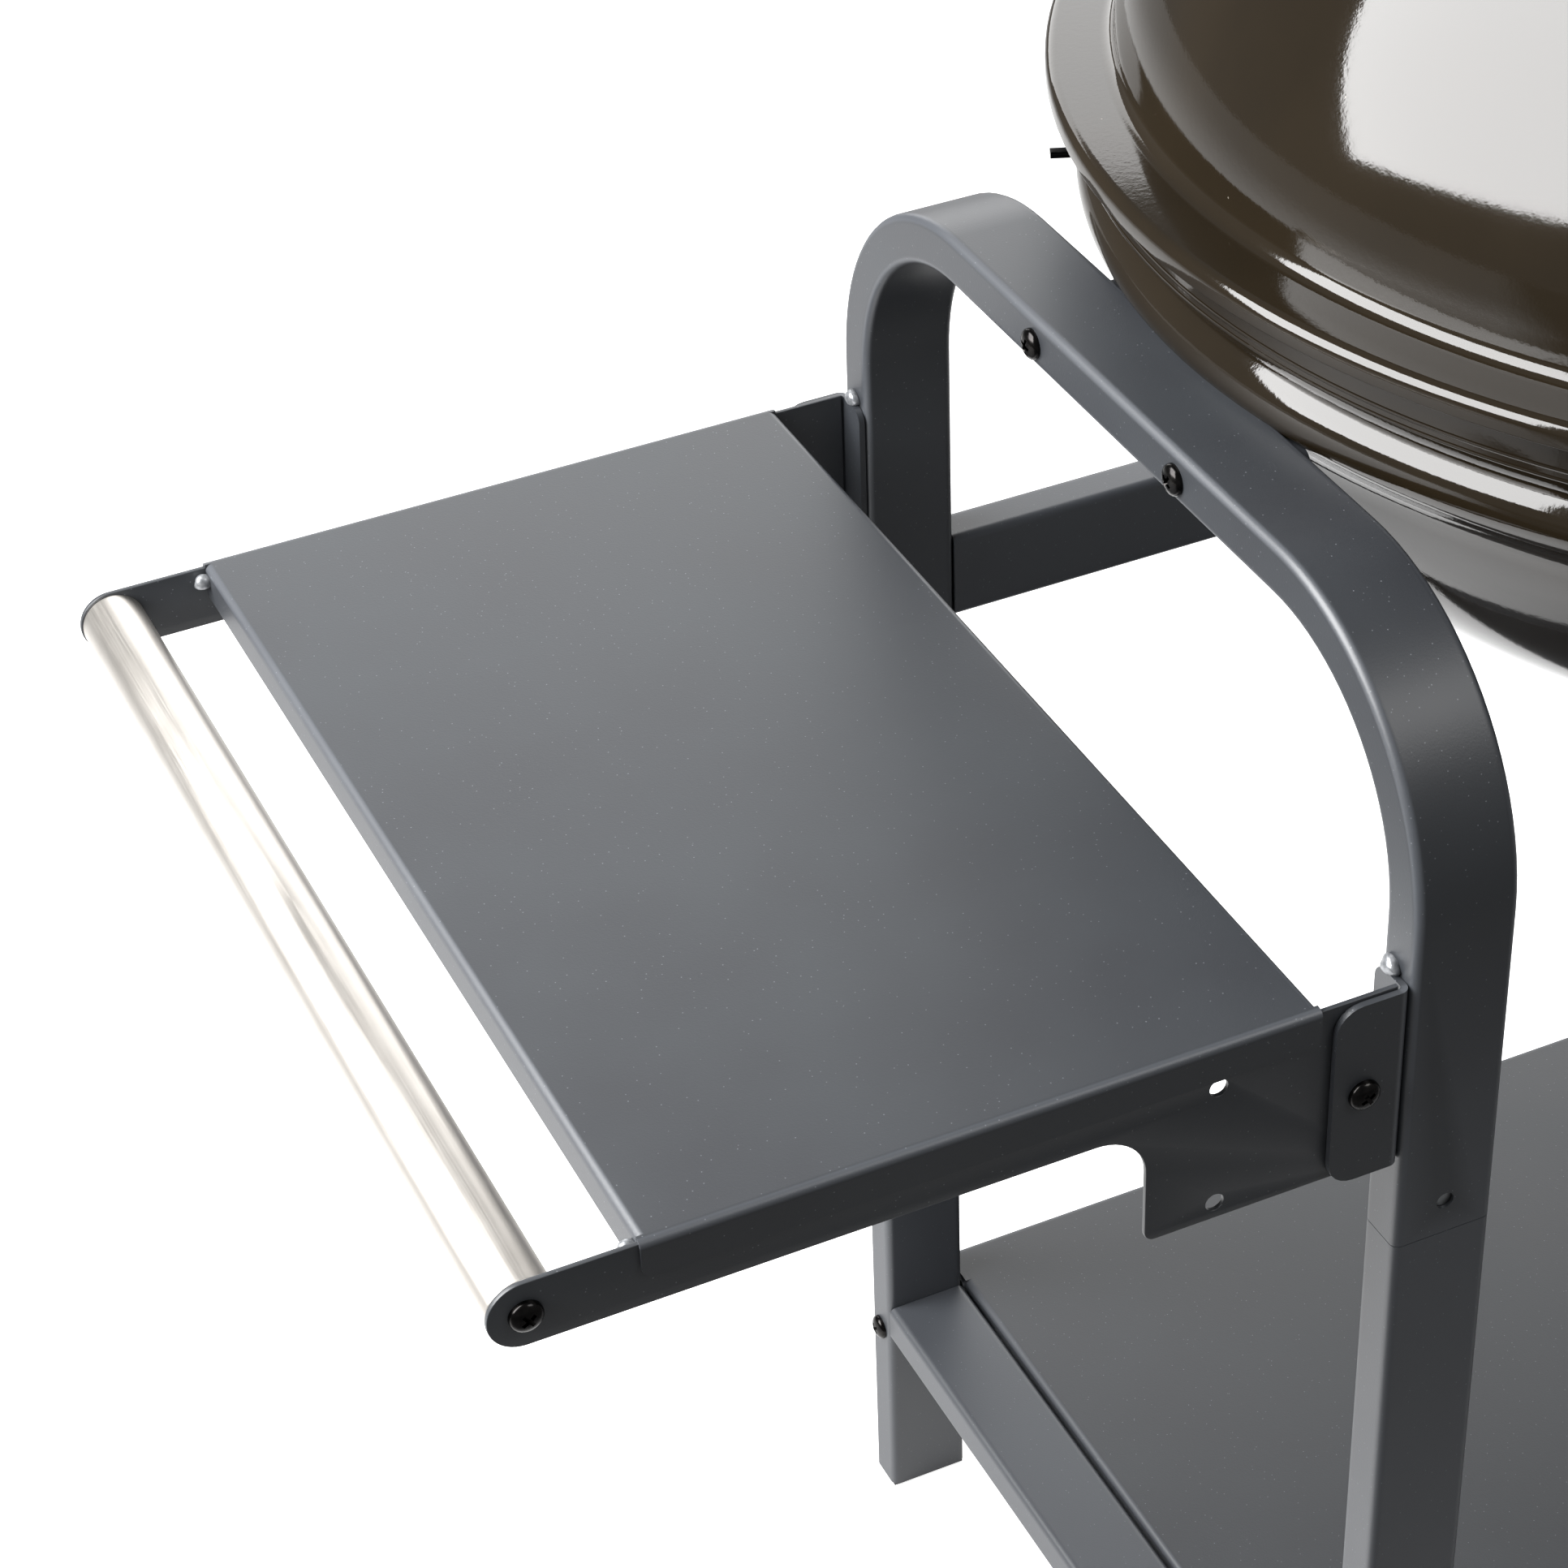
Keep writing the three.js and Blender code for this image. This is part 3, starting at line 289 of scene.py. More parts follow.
def tube_mesh(name, stations, width, depth):
    """Hollow tube through stations of (middle, width axis, depth axis)."""
    def ring(station, shrink, radius):
        middle, u, v = station
        return [middle + u * a + v * b for a, b in rounded_outline(width - shrink, depth - shrink, radius)]

    outside = [ring(s, 0, TUBE_CORNER) for s in stations]
    inside = [ring(s, 2 * TUBE_WALL, TUBE_CORNER - TUBE_WALL) for s in stations]
    return closed_mesh(name, *skin(outside + inside[::-1], loop=True), paint_fold_highlight=True)


def straight_tube(node):
    """Rounded hollow tube that fills a CAD node's box, along the box's longest side."""
    low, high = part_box(node)
    size, middle = high - low, (low + high) / 2
    along = max(range(3), key=lambda i: size[i])
    u, v = [Vector([float(i == j) for j in range(3)]) for i in range(3) if i != along]
    start, end = middle.copy(), middle.copy()
    start[along], end[along] = low[along], high[along]
    return tube_mesh(node, [(start, u, v), (end, u, v)], size.dot(u), size.dot(v))


for corner in ("left_front", "left_back", "right_front", "right_back"):
    leg = f"{corner}_leg"
    put(f"{corner}_leg_tube", straight_tube(leg), powder_coat, "frame_coat", "cart", leg)


# ---- Glides and joint sleeves --------------------------------------------------------------------
# A black polyamide glide is pressed into each standing leg. A sleeve of zinc-plated tube lines each
# hoop up with its legs, and only its edge can show in the joint.


def mottled(name, tones, gloss, coarse, fine, bump, **values):
    """A material whose tone and gloss drift with a coarse noise, with a fine one as its bump.

    `coarse` and `fine` are (size, detail), `bump` is (strength, distance).
    """
    made, tree, place, shader = new_material(name, **values)
    drift, grit = [
        add_node(tree, "ShaderNodeTexNoise", {"Vector": place, "Scale": 1 / size, "Detail": detail})
        for size, detail in (coarse, fine)
    ]
    tone = add_node(tree, "ShaderNodeMix", {
        0: drift, 6: linear(tones[0]), 7: linear(tones[1])}, data_type="RGBA")
    sheen = add_node(tree, "ShaderNodeMapRange", {0: drift, 3: gloss[0], 4: gloss[1]})
    relief = add_node(tree, "ShaderNodeBump", {
        "Strength": bump[0], "Distance": bump[1], "Height": grit})
    feed(shader, Base_Color=tone.outputs[2], Roughness=sheen, Normal=relief)
    return made


# Moulded polyamide with a fine spark-eroded texture: soft grey sheen, no mirror highlights.
moulded_plastic = mottled(
    "moulded_black_polyamide", ("141516", "26282a"), gloss=(0.38, 0.58), coarse=(24 * MM, 4.0),
    fine=(0.9 * MM, 3.0), bump=(0.25, 0.05 * MM), IOR=1.53)

# Zinc-plated steel sheet: a grey metal with crystals a few millimetres wide and handling haze.
zinc_plate, tree, place, shader = new_material("zinc_plated_steel", Metallic=1.0)
crystal = add_node(tree, "ShaderNodeTexVoronoi", {"Vector": place, "Scale": 1 / (7 * MM)})
crystal_tone = add_node(tree, "ShaderNodeSeparateColor", {0: crystal.outputs["Color"]})
smear = add_node(tree, "ShaderNodeTexNoise", {"Vector": place, "Scale": 1 / (30 * MM), "Detail": 5.0})
zinc_tone = add_node(tree, "ShaderNodeMix", {
    0: crystal_tone, 6: linear("9a9d9f"), 7: linear("babdbf")}, data_type="RGBA")
zinc_gloss = add_node(tree, "ShaderNodeMapRange", {0: smear, 3: 0.28, 4: 0.5})
zinc_bump = add_node(tree, "ShaderNodeBump", {
    "Strength": 0.12, "Distance": 0.1 * MM, "Height": crystal_tone.outputs[1]})
feed(shader, Base_Color=zinc_tone.outputs[2], Roughness=zinc_gloss, Normal=zinc_bump)


def recoat(node, material):
    """Gives a CAD node that keeps its own shape its finish."""
    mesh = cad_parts[node].data
    mesh.materials.clear()
    mesh.materials.append(material)


for node in ("left_front_glide", "left_back_glide"):
    recoat(node, moulded_plastic)
for corner in ("left_front", "left_back", "right_front", "right_back"):
    recoat(f"{corner}_sleeve", zinc_plate)


# ---- Crossbars and side rails --------------------------------------------------------------------
# The same tube, cut square. Three crossbars are screwed between the hoops and legs, and two rails lie
# flat between the front and back legs under the ends of the tray.

for bar in ("rear_crossbar", "lower_back_crossbar", "lower_front_crossbar", "left_rail", "right_rail"):
    put(f"{bar}_tube", straight_tube(bar), powder_coat, "frame_coat", "cart", bar)


# ---- Bottom tray ---------------------------------------------------------------------------------
# A pan folded from 1.2 mm sheet, turned upside down over the lower crossbars. The corners are relieved
# so that each skirt folds on its own.

SHEET = 1.2 * MM
FOLD_RADIUS = 3 * MM


def folded_sheet(name, low, high, end_half, corner):
    """Sheet folded down on four sides; end skirts reach to +-end_half, side skirts end rounded."""
    (x0, y0, floor_z), (x1, y1, top) = low, high
    bend = [pi / 2 * i / 6 for i in range(7)]
    fold = [(FOLD_RADIUS * (1 - sin(a)), FOLD_RADIUS * (1 - cos(a))) for a in bend]  # (inset, drop)
    fold = [(FOLD_RADIUS + EDGE_BAND, 0.0), *fold, (0.0, FOLD_RADIUS + EDGE_BAND), (0.0, top - floor_z)]
    points, faces = [], []

    def grid(rows):
        start, wide = len(points), len(rows[0])
        points.extend(p for row in rows for p in row)
        for i in range(len(rows) - 1):
            for j in range(wide - 1):
                a = start + i * wide + j
                faces.append((a, a + 1, a + wide + 1, a + wide))

    middle = [(x0 + inset, -drop) for inset, drop in fold[::-1]]
    middle += [(x1 - inset, -drop) for inset, drop in fold]
    grid([[(x, y, top + drop) for x, drop in middle] for y in (-end_half, end_half)])

    round_end = [(corner * (1 - cos(a)), corner * (1 - sin(a))) for a in bend]
    columns = [(x0 + along, lift) for along, lift in round_end]
    columns += [(x0 + FOLD_RADIUS + step, 0.0) for step in (0, EDGE_BAND)]
    columns += [(x1 - FOLD_RADIUS - step, 0.0) for step in (EDGE_BAND, 0)]
    columns += [(x1 - along, lift) for along, lift in round_end[::-1]]
    columns.sort()
    for side, edge in ((-1, y0), (1, y1)):
        rows = [[(x, side * end_half, top) for x, _ in columns]]
        for inset, drop in fold:
            last = drop == fold[-1][1]
            rows.append([(x, edge - side * inset, top - drop + (lift if last else 0)) for x, lift in columns])
        grid(rows)
    mesh = closed_mesh(name, points, faces, paint_fold_highlight=True)
    if mesh.polygons[0].normal.z < 0 and mesh.polygons[0].center.z > top - FOLD_RADIUS:
        mesh.flip_normals()
    return with_wall(name, mesh, SHEET)


def with_wall(name, mesh, thickness):
    """Gives an open sheet its thickness, inwards, and returns the plain mesh."""
    sheet = bpy.data.objects.new(name, mesh)
    scene.collection.objects.link(sheet)
    wall = sheet.modifiers.new("wall", "SOLIDIFY")
    wall.thickness, wall.offset = thickness, -1
    wall.use_even_offset = True
    return plain_mesh(sheet)


def plain_mesh(maker):
    """The evaluated mesh of an object that only served to make it; the maker is removed."""
    bpy.context.view_layer.update()
    evaluated = maker.evaluated_get(bpy.context.evaluated_depsgraph_get())
    mesh = bpy.data.meshes.new_from_object(evaluated)
    bpy.data.objects.remove(maker)
    return mesh


tray_low, tray_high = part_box("bottom_tray")
rail_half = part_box("left_rail")[1].y
tray = folded_sheet("bottom_tray", tray_low, tray_high, rail_half - 0.5 * MM, 2 * MM)
put("bottom_tray_pan", tray, powder_coat, "frame_coat", "cart", "bottom_tray")


# ---- Hoops ---------------------------------------------------------------------------------------
# One length of the same tube bent twice into an upturned U. The front foot has a 7 mm hole for the
# spring button that locks the joint.

BEND_RADIUS = 90 * MM  # middle line
BEND_STEPS = 22
LOCK_HOLE = 3.5 * MM
LOCK_HOLE_Z = 530 * MM
TUBE_DEPTH = 20 * MM


def cut_away(mesh, cutters):
    """The mesh with other closed meshes cut out of it."""
    solid = bpy.data.objects.new("solid", mesh)
    scene.collection.objects.link(solid)
    tools = []
    for cutter in cutters:
        tool = bpy.data.objects.new("tool", cutter)
        scene.collection.objects.link(tool)
        step = solid.modifiers.new("cut", "BOOLEAN")
        step.operation, step.solver, step.object = "DIFFERENCE", "EXACT", tool
        tools.append(tool)
    result = plain_mesh(solid)
    for tool in tools:
        bpy.data.objects.remove(tool)
    return result


def drill(at, axis, radius, length, sides=32):
    """A closed cylinder centred at `at`, to cut with."""
    turn = Vector(axis).to_track_quat("Z", "Y")
    angles = [2 * pi * i / sides for i in range(sides)]
    rings = [
        [Vector(at) + turn @ Vector((radius * cos(a), radius * sin(a), end)) for a in angles]
        for end in (-length / 2, length / 2)
    ]
    return closed_mesh("drill", *skin(rings, caps=True))


for side in ("left", "right"):
    hoop_low, hoop_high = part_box(f"{side}_hoop")
    middle_x = (hoop_low.x + hoop_high.x) / 2
    wide = hoop_high.x - hoop_low.x
    across = Vector((1, 0, 0))
    half = hoop_high.y - TUBE_DEPTH / 2
    crown = hoop_high.z - TUBE_DEPTH / 2
    stations = [(Vector((middle_x, -half, hoop_low.z)), across, Vector((0, -1, 0)))]
    for bend_y, first in ((-half + BEND_RADIUS, pi), (half - BEND_RADIUS, pi / 2)):
        for i in range(BEND_STEPS + 1):
            a = first - pi / 2 * i / BEND_STEPS
            out = Vector((0, cos(a), sin(a)))
            bend_centre = Vector((middle_x, bend_y, crown - BEND_RADIUS))
            stations.append((bend_centre + BEND_RADIUS * out, across, out))
    stations.append((Vector((middle_x, half, hoop_low.z)), across, Vector((0, 1, 0))))
    hoop = tube_mesh("hoop", stations, wide, TUBE_DEPTH)
    lock_hole = drill((middle_x, hoop_low.y, LOCK_HOLE_Z), (0, 1, 0), LOCK_HOLE, 8 * MM)
    hoop = cut_away(hoop, [lock_hole])
    put(f"{side}_hoop_tube", hoop, powder_coat, "frame_coat", "cart", f"{side}_hoop")


# ---- Shelf brackets ------------------------------------------------------------------------------
# An angle pressed from 2.5 mm plate: its web is welded to the front or back leg with a short bead and
# its flange, with rounded outer corners, clamps the arm.

BRACKET_PLATE = 2.5 * MM
BRACKET_BEND = 4 * MM
BRACKET_CORNER = 10 * MM
BRACKET_FOOT = 6 * MM  # rounding where the web meets the leg
BRACKET_MARGIN = 12 * MM  # rows above and below the rounded corners


def bracket_mesh(node, side):
    """Angle bracket in the box of its CAD node; `side` is -1 at the front and 1 at the back."""
    low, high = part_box(node)
    face_y = low.y if side < 0 else high.y
    inner_y = high.y if side < 0 else low.y
    bend = [pi / 2 * i / 6 for i in range(7)]
    flange = high.x - BRACKET_BEND - low.x
    route = [(BRACKET_CORNER * (1 - cos(a)), BRACKET_CORNER * (1 - sin(a))) for a in bend]
    columns = [(low.x + s, face_y, trim, trim) for s, trim in route]
    columns += [(low.x + flange - EDGE_BAND, face_y, 0, 0)]
    for a in bend:
        x = high.x - BRACKET_BEND + BRACKET_BEND * sin(a)
        columns.append((x, face_y - side * BRACKET_BEND * (1 - cos(a)), 0, 0))
    columns.append((high.x, face_y - side * (BRACKET_BEND + EDGE_BAND), 0, 0))
    for a in bend:
        foot_y = inner_y + side * BRACKET_FOOT * (1 - sin(a))
        columns.append((high.x, foot_y, BRACKET_FOOT * (1 - cos(a)), 0))
    rows = []
    for x, y, trim_top, trim_low in columns:
        levels = (low.z + trim_low, low.z + BRACKET_MARGIN, high.z - BRACKET_MARGIN, high.z - trim_top)
        rows.append([(x, y, z) for z in levels])
    points = [p for row in rows for p in row]
    faces = []
    for i in range(len(rows) - 1):
        for j in range(3):
            a = i * 4 + j
            faces.append((a, a + 1, a + 5, a + 4))
    mesh = closed_mesh("bracket", points, faces, paint_fold_highlight=True)
    if mesh.polygons[0].normal.y * side < 0:
        mesh.flip_normals()
    return with_wall("bracket", mesh, BRACKET_PLATE)


def weld_blob(at, size, stretch, seed):
    """A lump of weld metal: a ball drawn out and rippled like set solder."""
    form = bmesh.new()
    bmesh.ops.create_icosphere(form, subdivisions=3, radius=size)
    for v in form.verts:
        ripple = 1 + 0.12 * sin(seed + 900 * v.co.x + 2.1 * sin(700 * v.co.z)) * cos(650 * v.co.y + seed)
        v.co = Vector((v.co.x * stretch[0], v.co.y * stretch[1], v.co.z * stretch[2])) * ripple + Vector(at)
    mesh = bpy.data.meshes.new("weld")
    form.to_mesh(mesh)
    form.free()
    return mesh


# Weld spatter that the coat only half covers: bright grey metal with a soft sheen.
weld_metal, tree, place, shader = new_material("coated_weld_bead", Metallic=0.55, Roughness=0.32)
weld_ripple = add_node(tree, "ShaderNodeTexNoise", {"Vector": place, "Scale": 1 / (1.6 * MM), "Detail": 3.0})
weld_tone = add_node(tree, "ShaderNodeMix", {
    0: weld_ripple, 6: linear("4a4d52"), 7: linear("b9bbbe")}, data_type="RGBA")
weld_bump = add_node(tree, "ShaderNodeBump", {
    "Strength": 0.5, "Distance": 0.3 * MM, "Height": weld_ripple})
feed(shader, Base_Color=weld_tone.outputs[2], Normal=weld_bump)

for side, end in ((-1, "front"), (1, "back")):
    node = f"shelf_bracket_{end}"
    put(f"{node}_angle", bracket_mesh(node, side), powder_coat, "frame_coat", "cart", node)
    low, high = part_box(node)
    web_y = high.y - 7 * MM if side < 0 else low.y + 9 * MM
    top_weld = weld_blob((high.x - 1 * MM, web_y, high.z + 2.2 * MM), 3 * MM, (1.0, 1.5, 1.2), side)
    put(f"{node}_weld_bead", top_weld, weld_metal, "frame_coat", "cart")


# ---- Shelf arms ----------------------------------------------------------------------------------
# Two arms cut from 2 mm plate: slim towards the handle, where the end is round, and deep at the cart,
# with a round-cornered step between and two spare holes.

PLATE_EDGE = 0.35 * MM  # small broken edge left by cutting and coating
ARM_STEP_RADIUS = 19 * MM
ARM_CORNER_RADIUS = 4 * MM
SPARE_HOLE = 3.5 * MM
SPARE_HOLE_HEIGHTS = (616 * MM, 565 * MM)
HOLES_FROM_CART = 68 * MM  # from the arm's cart end to the spare holes
STEP_FROM_CART = 95 * MM


def arc(cx, cz, radius, first, last, steps):
    """Points of an arc about (cx, cz), angles in degrees, both ends included."""
    turns = [radians(first + (last - first) * i / steps) for i in range(steps + 1)]
    return [(cx + radius * cos(a), cz + radius * sin(a)) for a in turns]


def plate_mesh(outline, holes, thickness, middle_y):
    """Plate drawn in X and Z with a fine bevel on its edges, centred on middle_y."""
    curve = bpy.data.curves.new("plate", "CURVE")
    curve.dimensions, curve.fill_mode = "2D", "BOTH"
    curve.extrude = thickness / 2 - PLATE_EDGE
    curve.bevel_depth, curve.bevel_resolution = PLATE_EDGE, 2
    curve.offset = -PLATE_EDGE
    for loop in [outline, *holes]:
        spline = curve.splines.new("POLY")
        spline.points.add(len(loop) - 1)
        for point, (x, z) in zip(spline.points, loop):
            point.co = (x, z, 0, 1)
        spline.use_cyclic_u = True
    drawn = bpy.data.objects.new("plate", curve)
    scene.collection.objects.link(drawn)
    mesh = plain_mesh(drawn)
    mesh.transform(Matrix.Translation((0, middle_y, 0)) @ Matrix.Rotation(pi / 2, 4, "X"))
    return closed_mesh("plate", [v.co for v in mesh.vertices], [tuple(p.vertices) for p in mesh.polygons])


def arm_outline(node):
    """Outline of a shelf arm in X and Z."""
    low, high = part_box(node)
    end_radius = high.z - (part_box("handle_bar")[0].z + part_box("handle_bar")[1].z) / 2
    bar_x = low.x + end_radius
    bar_z = high.z - end_radius
    strip_low = bar_z - end_radius
    step_x = high.x - STEP_FROM_CART
    step = arc(step_x - ARM_STEP_RADIUS, strip_low - ARM_STEP_RADIUS, ARM_STEP_RADIUS, 90, 0, 12)
    foot = arc(step_x + ARM_CORNER_RADIUS, low.z + ARM_CORNER_RADIUS, ARM_CORNER_RADIUS, 180, 270, 6)
    return [(high.x, high.z), *arc(bar_x, bar_z, end_radius, 90, 270, 28), *step, *foot, (high.x, low.z)]


for end in ("front", "back"):
    node = f"shelf_arm_{end}"
    low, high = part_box(node)
    spare = [arc(high.x - HOLES_FROM_CART, z, SPARE_HOLE, 0, 350, 35) for z in SPARE_HOLE_HEIGHTS]
    arm = plate_mesh(arm_outline(node), spare, high.y - low.y, (low.y + high.y) / 2)
    put(f"{node}_plate", arm, powder_coat, "frame_coat", "cart", node)


# ---- Shelf ---------------------------------------------------------------------------------------
# A work shelf folded from 1.2 mm sheet. Its front and back skirts hang over the arms and its two end
# skirts fit between them, held by a short weld at the outer end.

shelf_low, shelf_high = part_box("shelf_top")
arm_inner = min(abs(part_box("shelf_arm_back")[0].y), abs(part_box("shelf_arm_front")[1].y))
shelf = folded_sheet("shelf", shelf_low, shelf_high, arm_inner - 0.3 * MM, 4 * MM)
put("shelf_top_pan", shelf, powder_coat, "frame_coat", "cart", "shelf_top")
for side, end in ((-1, "front"), (1, "back")):
    at = (shelf_low.x - 2 * MM, side * (arm_inner - 2.6 * MM), shelf_low.z + 9 * MM)
    weld = weld_blob(at, 2.6 * MM, (1.5, 1.1, 1.2), 3 * side)
    put(f"shelf_weld_{end}", weld, weld_metal, "frame_coat", "cart")


# ---- Handle bar ----------------------------------------------------------------------------------
# A 25 mm stainless tube between the arms, ground along its length on a belt and left uncoated. Screws
# through the arms hold it in plugs pressed into its ends.

HANDLE_SIDES = 72
HANDLE_EDGE = 0.8 * MM

# Belt-ground stainless steel: warm white metal, fine scratches along the bar and soft blotches.
ground_steel, tree, place, shader = new_material(
    "belt_ground_stainless_steel", Metallic=1.0, Anisotropic=0.35)
# Scratches are about 0.05 mm wide; they are drawn at 0.5 mm, so that they show.
belt = add_node(tree, "ShaderNodeMapping", {
    "Vector": place, "Scale": (1 / (0.5 * MM), 1 / (40 * MM), 1 / (0.5 * MM))})
scratch = add_node(tree, "ShaderNodeTexNoise", {"Vector": belt, "Scale": 1.0, "Detail": 3.0})
blotch = add_node(tree, "ShaderNodeTexNoise", {"Vector": place, "Scale": 1 / (18 * MM), "Detail": 4.0})
steel_tone = add_node(tree, "ShaderNodeMix", {
    0: blotch, 6: linear("cbc6bf"), 7: linear("dcd8d2")}, data_type="RGBA")
steel_gloss = add_node(tree, "ShaderNodeMapRange", {0: scratch, 1: 0.3, 2: 0.7, 3: 0.36, 4: 0.44})
steel_bump = add_node(tree, "ShaderNodeBump", {
    "Strength": 0.12, "Distance": 0.04 * MM, "Height": scratch})
feed(shader, Base_Color=steel_tone.outputs[2], Roughness=steel_gloss, Normal=steel_bump)


def turned(profile, sides, at=(0, 0, 0), axis="Z", loop=True):
    """Solid of revolution: profile points are (radius, distance along the axis from `at`)."""
    turn = {"Z": Matrix.Identity(3), "Y": Matrix.Rotation(-pi / 2, 3, "X")}[axis]
    angles = [2 * pi * i / sides for i in range(sides)]
    rings = [
        [Vector(at) + turn @ Vector((radius * cos(a), radius * sin(a), along)) for a in angles]
        for radius, along in profile
    ]
    return closed_mesh("turned", *skin(rings, loop=loop))


low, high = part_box("handle_bar")
bar_middle = (low + high) / 2
bar_radius = (high.z - low.z) / 2
half_bar = (high.y - low.y) / 2
rim_arc = arc(bar_radius - HANDLE_EDGE, half_bar - HANDLE_EDGE, HANDLE_EDGE, 0, 90, 4)
bar_profile = [(0, -half_bar), *[(r, -z) for r, z in rim_arc[::-1]], *rim_arc, (0, half_bar)]
handle = turned(bar_profile, HANDLE_SIDES, bar_middle, "Y", loop=False)
put("handle_bar_tube", handle, ground_steel, "stainless", "cart", "handle_bar")


# ---- Kettle brackets -----------------------------------------------------------------------------
# A steel strap bolted to the inner face of each hoop. Two round spacers, in line with its bolts, reach
# from the strap to the bowl.


def softened(node, edge):
    """A CAD node's shape as a clean mesh with its hard edges rounded by `edge`."""
    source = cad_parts[node].data
    mesh = closed_mesh(node, [v.co for v in source.vertices], [tuple(p.vertices) for p in source.polygons])
    form = bmesh.new()
    form.from_mesh(mesh)
    bmesh.ops.dissolve_limit(form, angle_limit=radians(1), verts=form.verts, edges=form.edges)
    form.to_mesh(mesh)
    form.free()
    shaped = bpy.data.objects.new(node, mesh)
    scene.collection.objects.link(shaped)
    rounding = shaped.modifiers.new("rounding", "BEVEL")
    rounding.width, rounding.segments, rounding.angle_limit = edge, 2, radians(32)
    rounding.use_clamp_overlap = True
    return plain_mesh(shaped)


STRAP_WIDTH = 18 * MM
STRAP_PLATE = 3 * MM
STRAP_CORNER = 5 * MM
SPACER_RADIUS = 4.5 * MM
BOLT_Y = 53 * MM
BOLT_Z = 741 * MM
for side, sign in (("left", -1), ("right", 1)):
    node = f"kettle_bracket_{side}"
    low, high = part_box(node)
    face, inner = (low.x, high.x) if sign < 0 else (high.x, low.x)
    middle_z = low.z + STRAP_WIDTH / 2
    outline = rounded_outline(high.y - low.y, STRAP_WIDTH, STRAP_CORNER)
    rings = [[Vector((face - sign * step, y, middle_z + z)) for y, z in outline] for step in (0, STRAP_PLATE)]
    strap = closed_mesh("strap", *skin(rings, caps=True))
    form = bmesh.new()
    form.from_mesh(strap)
    length = abs(face - inner) - STRAP_PLATE - 4 * MM
    spacer_profile = [(0, 0), (SPACER_RADIUS, 0), (SPACER_RADIUS, length), (0, length)]
    for y in (-BOLT_Y, BOLT_Y):
        spacer = turned(spacer_profile, 32, loop=False)
        mount = Matrix.Translation((face - sign * STRAP_PLATE, y, BOLT_Z))
        spacer.transform(mount @ Matrix.Rotation(-sign * pi / 2, 4, "Y"))
        form.from_mesh(spacer)
    form.to_mesh(strap)
    form.free()
    put(f"{node}_strap", strap, powder_coat, "frame_coat", "cart", node)


# ---- Screws --------------------------------------------------------------------------------------
# M6 pan-head machine screws with a cross recess, plated black nickel. One is shown wherever a bar, an
# arm or a bracket is fixed; each head sits flat on the coat.

HEAD_RADIUS = 6 * MM
HEAD_HEIGHT = 3.9 * MM
HEAD_RIM = 1.1 * MM  # upright edge below the rounded top
SHANK_RADIUS = 2.9 * MM
SHANK_STUB = 4 * MM
RECESS_DEPTH = 2.2 * MM
WING_HALF_LENGTH = 3.3 * MM
WING_HALF_WIDTH = 0.75 * MM

# Black-nickel plating: dark mirror with brownish depth, dulled where the driver has slipped.
black_nickel = mottled(
    "black_nickel_plated_steel", ("17171a", "3a3836"), gloss=(0.12, 0.3), coarse=(2.5 * MM, 4.0),
    fine=(2.5 * MM, 4.0), bump=(0.15, 0.05 * MM), Metallic=1.0)


def screw_mesh():
    """Pan head over the origin, towards +Z, with a tapered cross recess and a stub of shank below."""
    dome = [radians(d) for d in (15, 30, 45, 60, 75)]
    crown = [(HEAD_RADIUS, 0), (HEAD_RADIUS, HEAD_RIM)]
    crown += [(HEAD_RADIUS * cos(a), HEAD_RIM + (HEAD_HEIGHT - HEAD_RIM) * sin(a)) for a in dome]
    shank = [(0, -SHANK_STUB), (SHANK_RADIUS, -SHANK_STUB), (SHANK_RADIUS, 0)]
    profile = [*shank, *crown, (0, HEAD_HEIGHT)]
    head = turned(profile, 40, loop=False)
    wings = []
    for turn in (0, pi / 2):
        rings = []
        for level, shrink in ((HEAD_HEIGHT - RECESS_DEPTH, 0.45), (HEAD_HEIGHT + 1 * MM, 1.15)):
            a, b = WING_HALF_LENGTH * shrink, WING_HALF_WIDTH * (0.6 + 0.4 * shrink)
            ring = [Vector((x * a, y * b, level)) for x, y in ((1, 1), (-1, 1), (-1, -1), (1, -1))]
            rings.append([Matrix.Rotation(turn, 3, "Z") @ p for p in ring])
        wings.append(closed_mesh("wing", *skin(rings, caps=True)))
    return cut_away(head, wings)


screw_pattern = bpy.data.objects.new("screw_pattern", screw_mesh())
scene.collection.objects.link(screw_pattern)


def new_group(name, **inputs):
    """A geometry node group with those named inputs and one output, and its input sockets."""
    tree = bpy.data.node_groups.new(name, "GeometryNodeTree")
    for label, kind in inputs.items():
        tree.interface.new_socket(label.replace("_", " "), in_out="INPUT", socket_type=f"NodeSocket{kind}")
    tree.interface.new_socket("Geometry", in_out="OUTPUT", socket_type="NodeSocketGeometry")
    return tree, tree.nodes.new("NodeGroupInput").outputs


screw_tree, given = new_group("screws_on_points", Points="Geometry", Screw="Object", Finish="Material")
pattern = add_node(screw_tree, "GeometryNodeObjectInfo", {"Object": given["Screw"]})
turn_of = add_node(screw_tree, "GeometryNodeInputNamedAttribute", {"Name": "turn"}, data_type="FLOAT_VECTOR")
turned_by = add_node(screw_tree, "FunctionNodeEulerToRotation", {0: turn_of.outputs["Attribute"]})
spread = add_node(screw_tree, "GeometryNodeInstanceOnPoints", {
    "Points": given["Points"], "Instance": pattern.outputs["Geometry"], "Rotation": turned_by})
solid = add_node(screw_tree, "GeometryNodeRealizeInstances", {"Geometry": spread})
finished = add_node(screw_tree, "GeometryNodeSetMaterial", {
    "Geometry": solid, "Material": given["Finish"]})
screw_tree.links.new(finished.outputs[0], add_node(screw_tree, "NodeGroupOutput").inputs[0])


